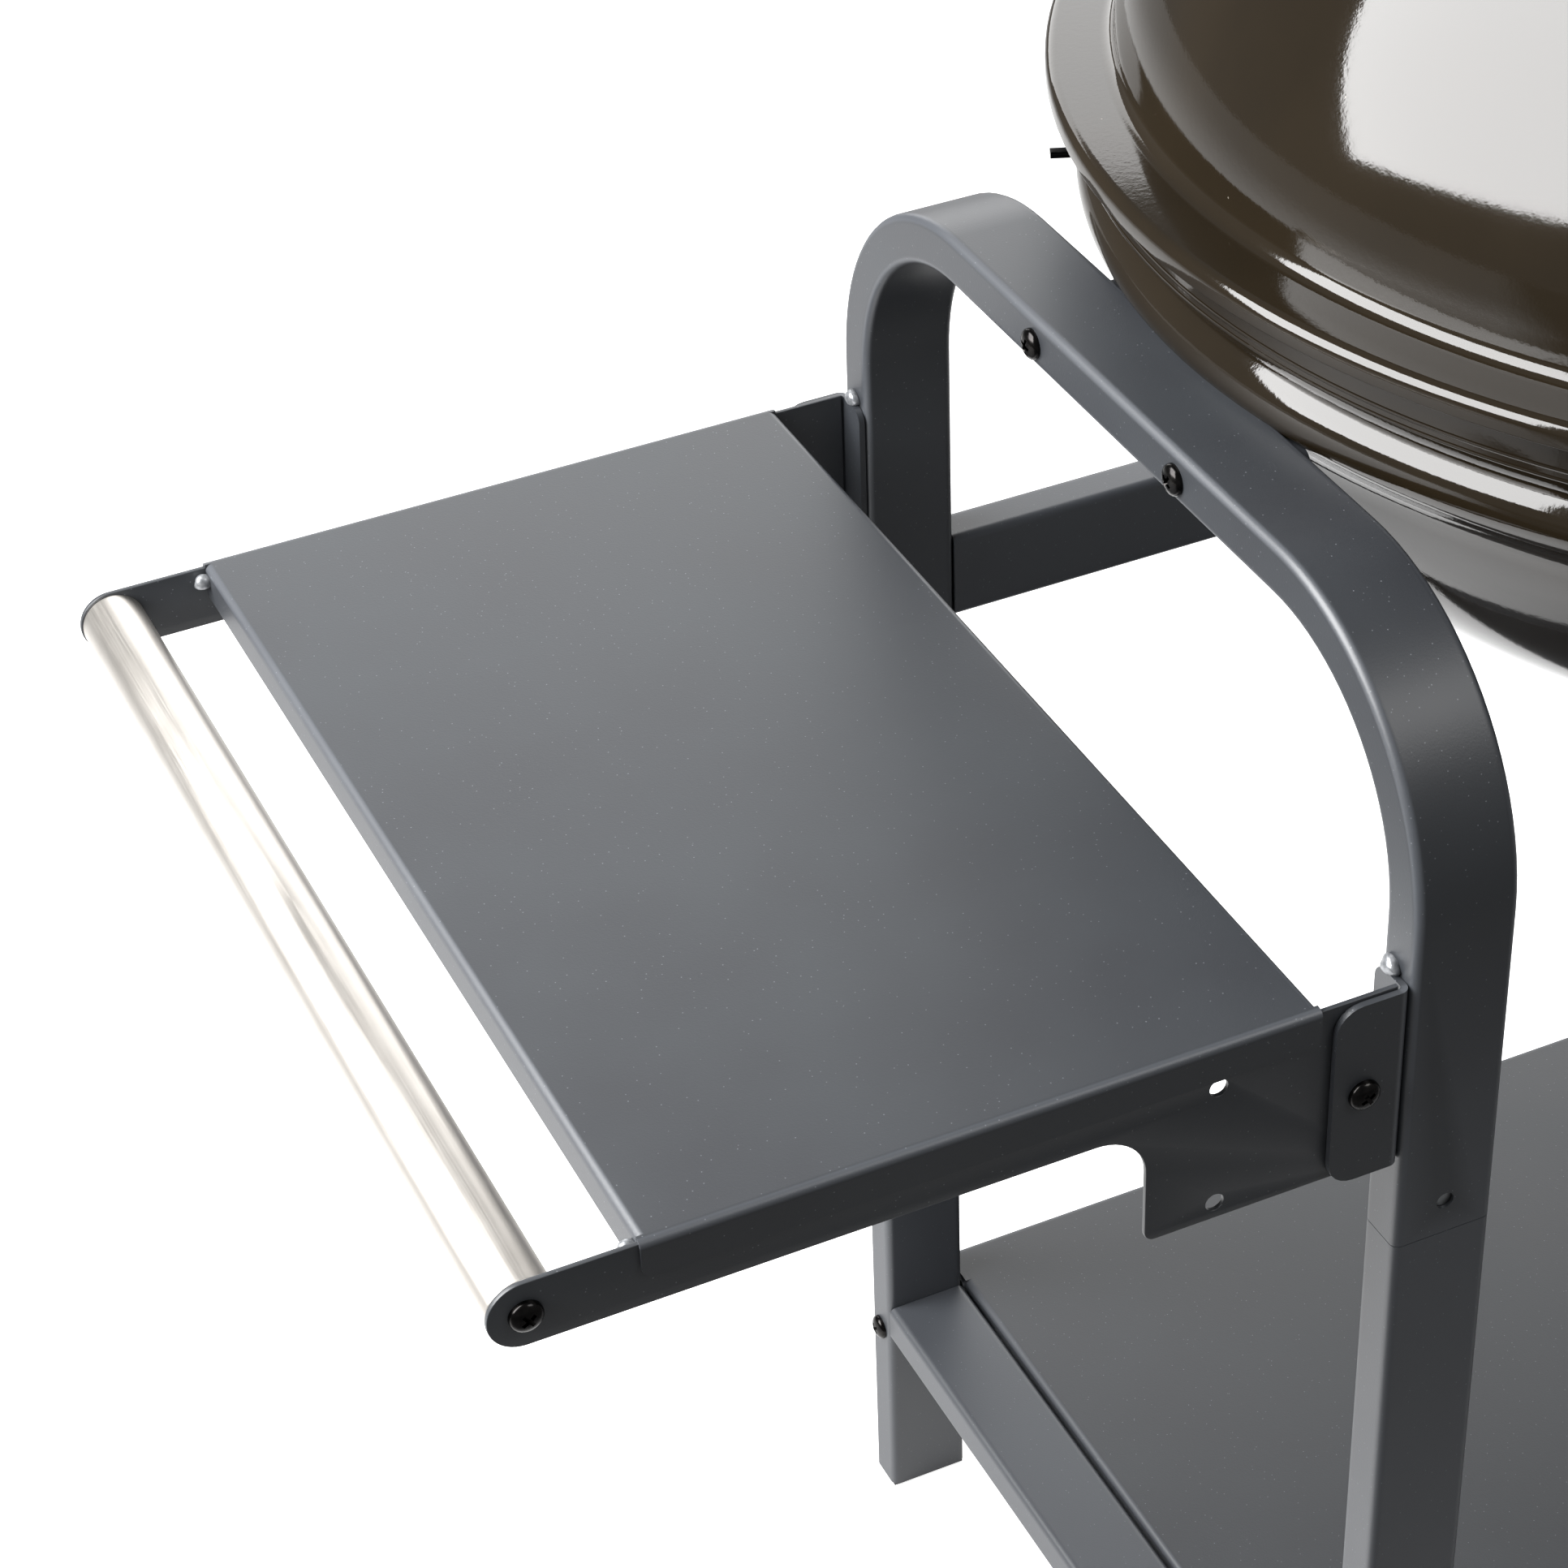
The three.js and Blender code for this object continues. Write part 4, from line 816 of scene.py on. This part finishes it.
def made_by(tree, mesh, **values):
    """Runs a node tree on a mesh with its named inputs set, and returns the plain mesh."""
    maker = bpy.data.objects.new("maker", mesh)
    scene.collection.objects.link(maker)
    step = maker.modifiers.new("make", "NODES")
    step.node_group = tree
    for item in tree.interface.items_tree:
        key = item.name.replace(" ", "_")
        if item.in_out == "INPUT" and key in values:
            step[item.identifier] = values[key]
    return plain_mesh(maker)


screw_nodes = [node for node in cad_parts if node.startswith("screw_")]
seats, turns = [], []
for index, node in enumerate(sorted(screw_nodes)):
    low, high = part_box(node)
    size, middle = high - low, (low + high) / 2
    # The head is round, so the size that has no equal lies along the screw.
    axis = max(range(3), key=lambda i: min(abs(size[i] - size[j]) for j in range(3) if j != i))
    away = 1 if middle[axis] > 0 else -1
    seat = middle.copy()
    seat[axis] = (high[axis] if away > 0 else low[axis]) - away * HEAD_HEIGHT
    facing = Vector([float(away) if i == axis else 0.0 for i in range(3)])
    spin = Quaternion((0, 0, 1), radians(37 * index))
    seats.append(seat)
    turns.append((facing.to_track_quat("Z", "Y") @ spin).to_euler())
seat_mesh = bpy.data.meshes.new("seats")
seat_mesh.from_pydata(seats, [], [])
turn_layer = seat_mesh.attributes.new("turn", "FLOAT_VECTOR", "POINT")
for item, turn in zip(turn_layer.data, turns):
    item.vector = turn
screws = made_by(screw_tree, seat_mesh, Screw=screw_pattern, Finish=black_nickel)
bpy.data.objects.remove(screw_pattern)
put("screw_set", screws, black_nickel, "black_screw", "cart", *screw_nodes, smooth=30)


# ---- Kettle bowl ---------------------------------------------------------------------------------
# The bowl is drawn from 1.2 mm steel: a round body, a rolled shoulder, two thin beads and an upright
# band that the lid sits over. Three air slots are cut in its flat floor.

KETTLE_SIDES = 160
bowl_low, bowl_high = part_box("kettle_bowl")
KETTLE_AXIS = Vector(((bowl_low.x + bowl_high.x) / 2, 0, 0))
BODY_RADIUS = 298 * MM
BODY_TOP = 768 * MM
FLOOR_RADIUS = 88 * MM
BAND_RADIUS = 307.5 * MM
BAND_FOOT = 786.6 * MM
BEAD_HEIGHTS = (780.2 * MM, 783.8 * MM)
BEAD_RADIUS = 1.6 * MM
AIR_SLOT = (30 * MM, 72 * MM, 45)  # inner and outer radius, degrees

# Porcelain enamel, fired dark brown over steel: a deep glassy black-brown with slight orange peel,
# a few pinholes and dust, and faint clouding from the firing.
enamel, tree, place, shader = new_material("fired_porcelain_enamel", IOR=1.52)
peel = add_node(tree, "ShaderNodeTexNoise", {"Vector": place, "Scale": 1 / (2.4 * MM), "Detail": 2.0})
ripple = add_node(tree, "ShaderNodeTexNoise", {"Vector": place, "Scale": 1 / (0.9 * MM), "Detail": 2.0})
firing = add_node(tree, "ShaderNodeTexNoise", {"Vector": place, "Scale": 1 / (90 * MM), "Detail": 4.0})
pinhole = add_node(tree, "ShaderNodeTexVoronoi", {"Vector": place, "Scale": 1 / (22 * MM)})
pin_mask = add_node(tree, "ShaderNodeMapRange", {
    0: pinhole.outputs["Distance"], 1: 0.01, 2: 0.022, 3: 0.6, 4: 0.0})
enamel_tone = add_node(tree, "ShaderNodeMix", {
    0: firing, 6: linear("15110b"), 7: linear("241d13")}, data_type="RGBA")
dusted = add_node(tree, "ShaderNodeMix", {
    0: pin_mask, 6: enamel_tone.outputs[2], 7: linear("8a8378")}, data_type="RGBA")
enamel_gloss = add_node(tree, "ShaderNodeMapRange", {0: firing, 1: 0.3, 2: 0.7, 3: 0.04, 4: 0.09})
peel_bump = add_node(tree, "ShaderNodeBump", {
    "Strength": 0.3, "Distance": 0.06 * MM, "Height": peel})
fine_bump = add_node(tree, "ShaderNodeBump", {
    "Strength": 0.3, "Distance": 0.025 * MM, "Height": ripple, "Normal": peel_bump})
feed(shader, Base_Color=dusted.outputs[2], Roughness=enamel_gloss, Normal=fine_bump)


def offset_inwards(profile, thickness):
    """The inner wall of an open profile, from its last point back to its first."""
    inner = []
    for i, (r, z) in enumerate(profile):
        (r0, z0), (r1, z1) = profile[max(i - 1, 0)], profile[min(i + 1, len(profile) - 1)]
        length = max(sqrt((r1 - r0) ** 2 + (z1 - z0) ** 2), 1e-9)
        inner.append((max(r - (z1 - z0) / length * thickness, 0.0), z + (r1 - r0) / length * thickness))
    inner[0] = (profile[0][0], profile[0][1] + thickness) if profile[0][0] == 0 else inner[0]
    return inner[::-1]


def slot_cutters(z, height):
    """Three ring-shaped air slots about the kettle's axis, as closed meshes."""
    inner, outer, span = AIR_SLOT
    cutters = []
    for i in range(3):
        spread_out = [radians(120 * i + span * (j / 12 - 0.5)) for j in range(13)]
        loop = [(outer * cos(a), outer * sin(a)) for a in spread_out]
        loop += [(inner * cos(a), inner * sin(a)) for a in spread_out[::-1]]
        rings = [[KETTLE_AXIS + Vector((x, y, level)) for x, y in loop] for level in (z, z + height)]
        cutters.append(closed_mesh("slot", *skin(rings, caps=True)))
    return cutters


start = asin(FLOOR_RADIUS / BODY_RADIUS)
depth = BODY_TOP - bowl_low.z
body = [(0, bowl_low.z), (FLOOR_RADIUS, bowl_low.z)]
for i in range(1, 38):
    a = start + (radians(81) - start) * i / 37
    body.append((BODY_RADIUS * sin(a), bowl_low.z + depth * (1 - cos(a) / cos(start))))
shoulder = arc(293.4 * MM, 759.5 * MM, 14 * MM, -62, 58, 14)
beads = [(302.6 * MM, 772.6 * MM), (305.8 * MM, 776.6 * MM)]
for bead_z in BEAD_HEIGHTS:
    beads += arc(BAND_RADIUS - 1.2 * MM, bead_z, BEAD_RADIUS, -42, 20, 5)
    beads += [(BAND_RADIUS, bead_z + 0.65 * MM)]
band = [(BAND_RADIUS, BAND_FOOT), (BAND_RADIUS, bowl_high.z - 0.8 * MM)]
bowl_outside = body + shoulder + beads + band
bowl_profile = bowl_outside + offset_inwards(bowl_outside, SHEET)
bowl = turned(bowl_profile, KETTLE_SIDES, KETTLE_AXIS, loop=False)
bowl = cut_away(bowl, slot_cutters(bowl_low.z - 3 * MM, 8 * MM))
put("kettle_bowl_shell", bowl, enamel, "enamel", "cart", "kettle_bowl", smooth=30)

HOOK_BEARING = radians(157)
HOOK_RADII = (300 * MM, 306 * MM, 318.5 * MM)
hook_outline = rounded_outline(5 * MM, 2.6 * MM, 0.7 * MM)
hook_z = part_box("lid_hook")[1].z - 2 * MM
hook_rings = [[(r, y, hook_z + z) for y, z in hook_outline] for r in HOOK_RADII]
hook = closed_mesh("hook", *skin(hook_rings, caps=True))
hook.transform(Matrix.Translation(KETTLE_AXIS) @ Matrix.Rotation(HOOK_BEARING, 4, "Z"))
put("lid_hook_strip", hook, black_nickel, "black_screw", "cart", "lid_hook")


# ---- Damper, ash collar and ash can --------------------------------------------------------------
# A slotted disc turns over the slots in the bowl's floor on a stem, moved by a flat lever with a round
# grip. The collar hangs from the bowl and the can is held in it by its own spring.

damper = softened("damper_disc", 0.25 * MM)
put("damper_disc_plate", damper, zinc_plate, "zinc_steel", "damper", "damper_disc")
lever = softened("damper_lever", 0.7 * MM)
put("damper_lever_bar", lever, ground_steel, "stainless", "damper", "damper_lever")

collar_low, collar_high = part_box("ash_collar")
can_low, can_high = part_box("ash_can")
collar_radius = (collar_high.x - collar_low.x) / 2
collar_foot = arc(collar_radius - 0.6 * MM, collar_low.z + 0.6 * MM, 0.6 * MM, 180, 360, 6)
collar_wall = [(collar_radius - SHEET, collar_low.z + 1 * MM), *collar_foot]
collar_wall += [(collar_radius, collar_high.z), (collar_radius - SHEET, collar_high.z)]
collar = turned(collar_wall, 96, KETTLE_AXIS)
lever_low, lever_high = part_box("damper_lever")
SLOT_HALF = 80 * MM
SLOT_REACH = 120 * MM
slot_ring = [(-SLOT_HALF, -SLOT_REACH), (SLOT_HALF, -SLOT_REACH), (SLOT_HALF, 0), (-SLOT_HALF, 0)]
bar_z = (lever_low.z + lever_high.z) / 2
slot_levels = (bar_z - 5 * MM, bar_z + 6 * MM)
slot_rings = [[KETTLE_AXIS + Vector((x, y, z)) for x, y in slot_ring] for z in slot_levels]
collar = cut_away(collar, [closed_mesh("slot", *skin(slot_rings, caps=True))])
put("ash_collar_ring", collar, zinc_plate, "zinc_steel", "cart", "ash_collar")

can_radius = (can_high.x - can_low.x) / 2
can_floor = can_low.z + 1.5 * MM
can_wall = [(0, can_floor), (can_radius - 22 * MM, can_floor), (can_radius - 20 * MM, can_low.z)]
can_wall += arc(can_radius - 7 * MM, can_low.z + 7 * MM, 7 * MM, 270, 360, 8)
can_wall += [(can_radius - 1 * MM, can_low.z + 8 * MM), (can_radius - 1 * MM, can_low.z + 18 * MM)]
can_wall += arc(can_radius - 1 * MM, can_low.z + 20 * MM, 1 * MM, -90, 90, 5)
can_wall += [(can_radius - 1 * MM, can_high.z - 3 * MM)]
can_wall += arc(can_radius - 1 * MM, can_high.z - 1 * MM, 1 * MM, -90, 90, 5)
can = turned(can_wall + offset_inwards(can_wall, 0.8 * MM), 96, KETTLE_AXIS, loop=False)
put("ash_can_pot", can, zinc_plate, "zinc_steel", "ash_can", "ash_can")


# ---- Grates --------------------------------------------------------------------------------------
# Parallel steel rods welded to a ring, chrome plated. The cooking grate is the finer one and has two
# rod grips; the charcoal grate's rods are thicker and further apart.

# Chrome-plated rod: bright cold metal with faint drawing marks and a little heat haze.
chrome_rod = mottled(
    "chrome_plated_rod", ("b4afa6", "dcdcda"), gloss=(0.28, 0.1), coarse=(45 * MM, 4.0),
    fine=(1.2 * MM, 2.0), bump=(0.1, 0.03 * MM), Metallic=1.0)

grate_tree, given = new_group(
    "round_grate", Grips="Geometry", Centre="Vector", Radius="Float", Ring_Thickness="Float",
    Rod_Thickness="Float", Spacing="Float", Rods="Int", Finish="Material")
ring_line = add_node(grate_tree, "GeometryNodeCurvePrimitiveCircle", {
    "Resolution": 120, "Radius": given["Radius"]}, mode="RADIUS")
ring_section = add_node(grate_tree, "GeometryNodeCurvePrimitiveCircle", {
    "Resolution": 12, "Radius": given["Ring Thickness"]}, mode="RADIUS")
ring = add_node(grate_tree, "GeometryNodeCurveToMesh", {0: ring_line, 1: ring_section})
gap = add_node(grate_tree, "ShaderNodeCombineXYZ", {0: given["Spacing"]})
steps_less = add_node(grate_tree, "ShaderNodeMath", {0: given["Rods"], 1: 1.0}, operation="SUBTRACT")
span = add_node(grate_tree, "ShaderNodeMath", {
    0: steps_less, 1: given["Spacing"]}, operation="MULTIPLY")
half_span = add_node(grate_tree, "ShaderNodeMath", {0: span, 1: -0.5}, operation="MULTIPLY")
first_rod = add_node(grate_tree, "ShaderNodeCombineXYZ", {0: half_span})
rod_feet = add_node(grate_tree, "GeometryNodeMeshLine", {
    "Count": given["Rods"], "Start Location": first_rod, "Offset": gap}, mode="OFFSET")
rod_line = add_node(grate_tree, "GeometryNodeCurvePrimitiveLine", {"Start": (0, -1, 0), "End": (0, 1, 0)})
rod_section = add_node(grate_tree, "GeometryNodeCurvePrimitiveCircle", {
    "Resolution": 10, "Radius": given["Rod Thickness"]}, mode="RADIUS")
rod = add_node(grate_tree, "GeometryNodeCurveToMesh", {
    0: rod_line, 1: rod_section, "Fill Caps": True})
foot = add_node(grate_tree, "GeometryNodeInputPosition")
foot_x = add_node(grate_tree, "ShaderNodeSeparateXYZ", {0: foot})
across_square = add_node(grate_tree, "ShaderNodeMath", {
    0: foot_x, 1: foot_x}, operation="MULTIPLY")
radius_square = add_node(grate_tree, "ShaderNodeMath", {
    0: given["Radius"], 1: given["Radius"]}, operation="MULTIPLY")
chord_square = add_node(grate_tree, "ShaderNodeMath", {
    0: radius_square, 1: across_square}, operation="SUBTRACT")
chord = add_node(grate_tree, "ShaderNodeMath", {0: chord_square}, operation="SQRT")
stretch = add_node(grate_tree, "ShaderNodeCombineXYZ", {0: 1.0, 1: chord, 2: 1.0})
laid = add_node(grate_tree, "GeometryNodeInstanceOnPoints", {
    "Points": rod_feet, "Instance": rod, "Scale": stretch})
real_rods = add_node(grate_tree, "GeometryNodeRealizeInstances", {"Geometry": laid})
welded = add_node(grate_tree, "GeometryNodeJoinGeometry")
for part in (real_rods, ring):
    grate_tree.links.new(part.outputs[0], welded.inputs[0])
moved = add_node(grate_tree, "GeometryNodeTransform", {
    "Geometry": welded, "Translation": given["Centre"]})
with_grips = add_node(grate_tree, "GeometryNodeJoinGeometry")
for part in (moved.outputs[0], given["Grips"]):
    grate_tree.links.new(part, with_grips.inputs[0])
finished = add_node(grate_tree, "GeometryNodeSetMaterial", {
    "Geometry": with_grips, "Material": given["Finish"]})
grate_tree.links.new(finished.outputs[0], add_node(grate_tree, "NodeGroupOutput").inputs[0])


def bent_rod(route, radius, sides=10):
    """Closed round rod through the points of a route."""
    angles = [2 * pi * j / sides for j in range(sides)]
    rings = []
    for i, p in enumerate(route):
        before, after = Vector(route[max(i - 1, 0)]), Vector(route[min(i + 1, len(route) - 1)])
        turn = (after - before).to_track_quat("Z", "Y")
        rings.append([Vector(p) + turn @ Vector((radius * cos(a), radius * sin(a), 0)) for a in angles])
    return skin(rings, caps=True)


GRIP_HALF = 41 * MM
GRIP_CORNER = 9 * MM
GRIP_ROD = 2.5 * MM
GRIP_Y = 248 * MM
GRATE_Z = 779 * MM
grill_low, grill_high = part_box("cooking_grate")
grip_points, grip_faces = [], []
for side in (-1, 1):
    top = grill_high.z - GRIP_ROD
    bend = arc(-GRIP_HALF + GRIP_CORNER, top - GRIP_CORNER, GRIP_CORNER, 180, 90, 6)
    route = [(-GRIP_HALF, GRATE_Z), *bend, *[(-x, z) for x, z in bend[::-1]], (GRIP_HALF, GRATE_Z)]
    points, faces = bent_rod([KETTLE_AXIS + Vector((x, side * GRIP_Y, z)) for x, z in route], GRIP_ROD)
    grip_faces += [tuple(i + len(grip_points) for i in face) for face in faces]
    grip_points += points
cooking = made_by(
    grate_tree, closed_mesh("grips", grip_points, grip_faces), Centre=KETTLE_AXIS + Vector((0, 0, GRATE_Z)),
    Radius=(grill_high.y - grill_low.y) / 2 - 3 * MM, Ring_Thickness=3 * MM, Rod_Thickness=2 * MM,
    Spacing=26 * MM, Rods=23, Finish=chrome_rod,
)
put("cooking_grate_rods", cooking, chrome_rod, "chrome_rod", "cooking_grate", "cooking_grate", smooth=50)
coal_low, coal_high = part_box("charcoal_grate")
coal_middle = KETTLE_AXIS + Vector((0, 0, (coal_low.z + coal_high.z) / 2))
charcoal = made_by(
    grate_tree, bpy.data.meshes.new("no_grips"), Centre=coal_middle,
    Radius=(coal_high.y - coal_low.y) / 2 - 3 * MM, Ring_Thickness=3 * MM, Rod_Thickness=2.5 * MM,
    Spacing=42 * MM, Rods=11, Finish=chrome_rod,
)
put("charcoal_grate_rods", charcoal, chrome_rod, "chrome_rod", "charcoal_grate", "charcoal_grate", smooth=50)


# ---- Lid -----------------------------------------------------------------------------------------
# The lid is drawn from the same sheet: a dome, a hollow where it turns out into a flat flange, and a
# rounded lip that covers the top of the bowl's band. It is enamelled inside and out.

lid_low, lid_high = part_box("kettle_lid")
RIM_RADIUS = (lid_high.x - lid_low.x) / 2 + 1.5 * MM
LIP_EDGE = 0.7 * MM
LIP_RADIUS = 4.5 * MM
DOME_RADIUS = 293 * MM
DOME_BASE = 816 * MM
FLANGE_Z = 808 * MM
dome_rise = lid_high.z - DOME_BASE
lip = arc(RIM_RADIUS - LIP_EDGE, lid_low.z + LIP_EDGE, LIP_EDGE, -90, 0, 4)
lip += arc(RIM_RADIUS - LIP_RADIUS, FLANGE_Z - LIP_RADIUS, LIP_RADIUS, 0, 88, 8)
hollow = arc(DOME_RADIUS + 6.2 * MM, FLANGE_Z + 6.1 * MM, 6 * MM, 268, 184, 9)
quarter = [radians(90 * i / 44) for i in range(45)]
dome = [(DOME_RADIUS * cos(a), DOME_BASE + dome_rise * sin(a)) for a in quarter]
dome[-1] = (0, lid_high.z)
lid_outside = (lip + hollow + dome[1:])[::-1]
lid_profile = lid_outside + offset_inwards(lid_outside[::-1], SHEET)[::-1]
lid = turned(lid_profile, KETTLE_SIDES, KETTLE_AXIS, loop=False)

VENT_OUT = 150 * MM
VENT_BEARING = radians(30)
vent_z = DOME_BASE + dome_rise * sqrt(1 - (VENT_OUT / DOME_RADIUS) ** 2)
vent_tilt = atan2(VENT_OUT * dome_rise / DOME_RADIUS**2, (vent_z - DOME_BASE) / dome_rise)
vent_place = Matrix.Translation(KETTLE_AXIS) @ Matrix.Rotation(VENT_BEARING, 4, "Z")
vent_place = vent_place @ Matrix.Translation((VENT_OUT, 0, vent_z)) @ Matrix.Rotation(vent_tilt, 4, "Y")


def vent_drills(length):
    """Three holes of the lid's vent, as closed meshes."""
    holes = []
    for i in range(3):
        a = 2 * pi * i / 3
        hole = drill((22 * MM * cos(a), 22 * MM * sin(a), 0), (0, 0, 1), 9 * MM, length)
        hole.transform(vent_place)
        holes.append(hole)
    return holes


lid = cut_away(lid, vent_drills(24 * MM))
put("kettle_lid_shell", lid, enamel, "enamel", "lid", "kettle_lid", smooth=30)


# ---- Lid vent and lid handle ---------------------------------------------------------------------
# A stainless disc with three holes turns on a rivet to open the vent. The handle is a moulded bar on
# two turned standoffs, bolted through the dome.

DISC_RADIUS = 38 * MM  # flat part
disc_rim = arc(41.2 * MM, 3.8 * MM, 0.6 * MM, 90, -90, 4)
disc_profile = [(0, 4.4 * MM), (DISC_RADIUS, 4.4 * MM), *disc_rim, (DISC_RADIUS, 3.4 * MM), (0, 3.4 * MM)]
disc = turned(disc_profile, 72, loop=False)
disc.transform(vent_place)
disc = cut_away(disc, vent_drills(24 * MM))
disc_form = bmesh.new()
disc_form.from_mesh(disc)
tab_route = [(x * MM, 0, z * MM) for x, z in ((24, 4.2), (26, 12), (29, 16), (34, 17), (39, 16))]
tab = bent_rod(tab_route, 2 * MM, 12)
rivet_profile = [(2.5, -6), (2.5, 4), (5, 4), (5, 5), (3.4, 6.4), (1, 7)]  # radius and height in mm
around = [2 * pi * j / 24 for j in range(24)]
rivet_rings = [[Vector((r * cos(a), r * sin(a), z)) * MM for a in around] for r, z in rivet_profile]
rivet = skin(rivet_rings, caps=True)
for points, faces in (tab, rivet):
    extra = closed_mesh("extra", points, faces)
    extra.transform(vent_place)
    disc_form.from_mesh(extra)
disc_form.to_mesh(disc)
disc_form.free()
put("lid_vent_plate", disc, ground_steel, "stainless", "lid_vent", "lid_vent_disc")

handle_low, handle_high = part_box("lid_handle")
grip_middle = (handle_low + handle_high) / 2
grip_radius = (handle_high.z - handle_low.z) / 2
grip_half = (handle_high.y - handle_low.y) / 2
grip_end = arc(grip_radius - 5 * MM, grip_half - 5 * MM, 5 * MM, 0, 90, 6)
WAIST_HALF = 60  # mm
WAIST_DEPTH = 1.2 * MM
waist = range(-WAIST_HALF, WAIST_HALF + 1, 6)
grip_wave = [(grip_radius - WAIST_DEPTH * (1 - (y / WAIST_HALF) ** 2), y * MM) for y in waist]
grip_profile = [(0, -grip_half), *[(r, -z) for r, z in grip_end[::-1]], *grip_wave, *grip_end, (0, grip_half)]
grip = turned(grip_profile, 48, grip_middle, "Y", loop=False)
put("lid_handle_grip", grip, moulded_plastic, "black_plastic", "lid", "lid_handle")
for end in ("front", "back"):
    node = f"lid_standoff_{end}"
    low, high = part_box(node)
    middle = (low + high) / 2
    neck = [(0, low.z), (3 * MM, low.z), (3 * MM, low.z + 12 * MM), (9 * MM, low.z + 13 * MM)]
    neck += arc(8.2 * MM, low.z + 14.4 * MM, 0.8 * MM, 0, 90, 3)
    neck += [(7.4 * MM, low.z + 17 * MM), (6.2 * MM, low.z + 22 * MM), (6.2 * MM, high.z - 8 * MM)]
    neck += [(7 * MM, high.z - 4 * MM), (7 * MM, high.z), (0, high.z)]
    post = turned(neck, 40, (middle.x, middle.y, 0), loop=False)
    put(f"{node}_post", post, ground_steel, "stainless", "lid", node)


# ---- Axle and wheels -----------------------------------------------------------------------------
# A plain steel axle runs through the short legs. Each wheel is a ribbed moulding with a solid rubber
# tyre, and a push-on cap holds it.

recoat("axle", zinc_plate)
for end in ("front", "back"):
    recoat(f"axle_cap_{end}", moulded_plastic)

# Solid rubber: dead black-grey, matt, dustier where it rolls.
tyre_rubber = mottled(
    "moulded_solid_rubber", ("121212", "2a2927"), gloss=(0.62, 0.88), coarse=(14 * MM, 5.0),
    fine=(1 * MM, 2.0), bump=(0.3, 0.1 * MM), Specular_IOR_Level=0.3)

around_tree, given = new_group(
    "blocks_around_axle", Base="Geometry", Centre="Vector", Radius="Float", Count="Int",
    Block="Vector", Finish="Material")
block = add_node(around_tree, "GeometryNodeMeshCube", {"Size": given["Block"]})
track = add_node(around_tree, "GeometryNodeMeshCircle", {
    "Vertices": given["Count"], "Radius": given["Radius"]})
spot = add_node(around_tree, "GeometryNodeInputPosition")
facing_out = add_node(around_tree, "FunctionNodeAlignRotationToVector", {
    "Vector": spot}, axis="X", pivot_axis="Z")
ringed = add_node(around_tree, "GeometryNodeInstanceOnPoints", {
    "Points": track, "Instance": block, "Rotation": facing_out})
real_blocks = add_node(around_tree, "GeometryNodeRealizeInstances", {"Geometry": ringed})
swung = add_node(around_tree, "GeometryNodeTransform", {
    "Geometry": real_blocks, "Translation": given["Centre"], "Rotation": (pi / 2, 0, 0)})
both = add_node(around_tree, "GeometryNodeJoinGeometry")
for part in (swung.outputs[0], given["Base"]):
    around_tree.links.new(part, both.inputs[0])
finished = add_node(around_tree, "GeometryNodeSetMaterial", {
    "Geometry": both, "Material": given["Finish"]})
around_tree.links.new(finished.outputs[0], add_node(around_tree, "NodeGroupOutput").inputs[0])

HUB_RADIUS = 18 * MM
WHEEL_RADIUS = 72 * MM
BORE_RADIUS = 6.1 * MM
for end in ("front", "back"):
    low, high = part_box(f"wheel_{end}")
    middle = (low + high) / 2
    half_hub = (high.y - low.y) / 2
    half_rim = half_hub - 2 * MM
    side_profile = [  # from the web out to the rim, and in at the hub
        (WHEEL_RADIUS - 9 * MM, 3 * MM), (WHEEL_RADIUS - 6 * MM, half_rim), (WHEEL_RADIUS, half_rim)]
    hub_profile = [
        (HUB_RADIUS, 3 * MM), (HUB_RADIUS, half_hub - 1 * MM), (HUB_RADIUS - 1 * MM, half_hub),
        (BORE_RADIUS, half_hub)]
    wheel_profile = [(r, -y) for r, y in hub_profile[::-1] + side_profile] + side_profile[::-1] + hub_profile
    disc_wheel = turned(wheel_profile, 72, middle, "Y")
    rib_middle = (HUB_RADIUS + WHEEL_RADIUS - 8 * MM) / 2
    rib = Vector((WHEEL_RADIUS - HUB_RADIUS - 6 * MM, 3 * MM, 2 * half_rim - 8 * MM))
    wheel = made_by(around_tree, disc_wheel, Centre=middle, Radius=rib_middle, Count=10, Block=rib,
                    Finish=moulded_plastic)
    put(f"wheel_{end}_moulding", wheel, moulded_plastic, "black_plastic", f"wheel_{end}", f"wheel_{end}")

    low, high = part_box(f"tyre_{end}")
    outer = (high.z - low.z) / 2
    half_tyre = (high.y - low.y) / 2
    crown = arc(outer - 9 * MM, half_tyre - 9 * MM, 8 * MM, 80, 8, 6)
    seat = WHEEL_RADIUS + 0.3 * MM
    tyre_profile = [(seat, -half_tyre + 3 * MM), *[(r, -y) for r, y in crown], *crown[::-1]]
    tyre_profile += [(seat, half_tyre - 3 * MM)]
    tyre_base = turned(tyre_profile, 96, middle, "Y")
    tread = Vector((4.4 * MM, 9 * MM, 2 * half_tyre - 15 * MM))
    tyre = made_by(around_tree, tyre_base, Centre=middle, Radius=outer - 2.4 * MM, Count=40, Block=tread,
                   Finish=tyre_rubber)
    put(f"tyre_{end}_tread", tyre, tyre_rubber, "tyre", f"wheel_{end}", f"tyre_{end}")
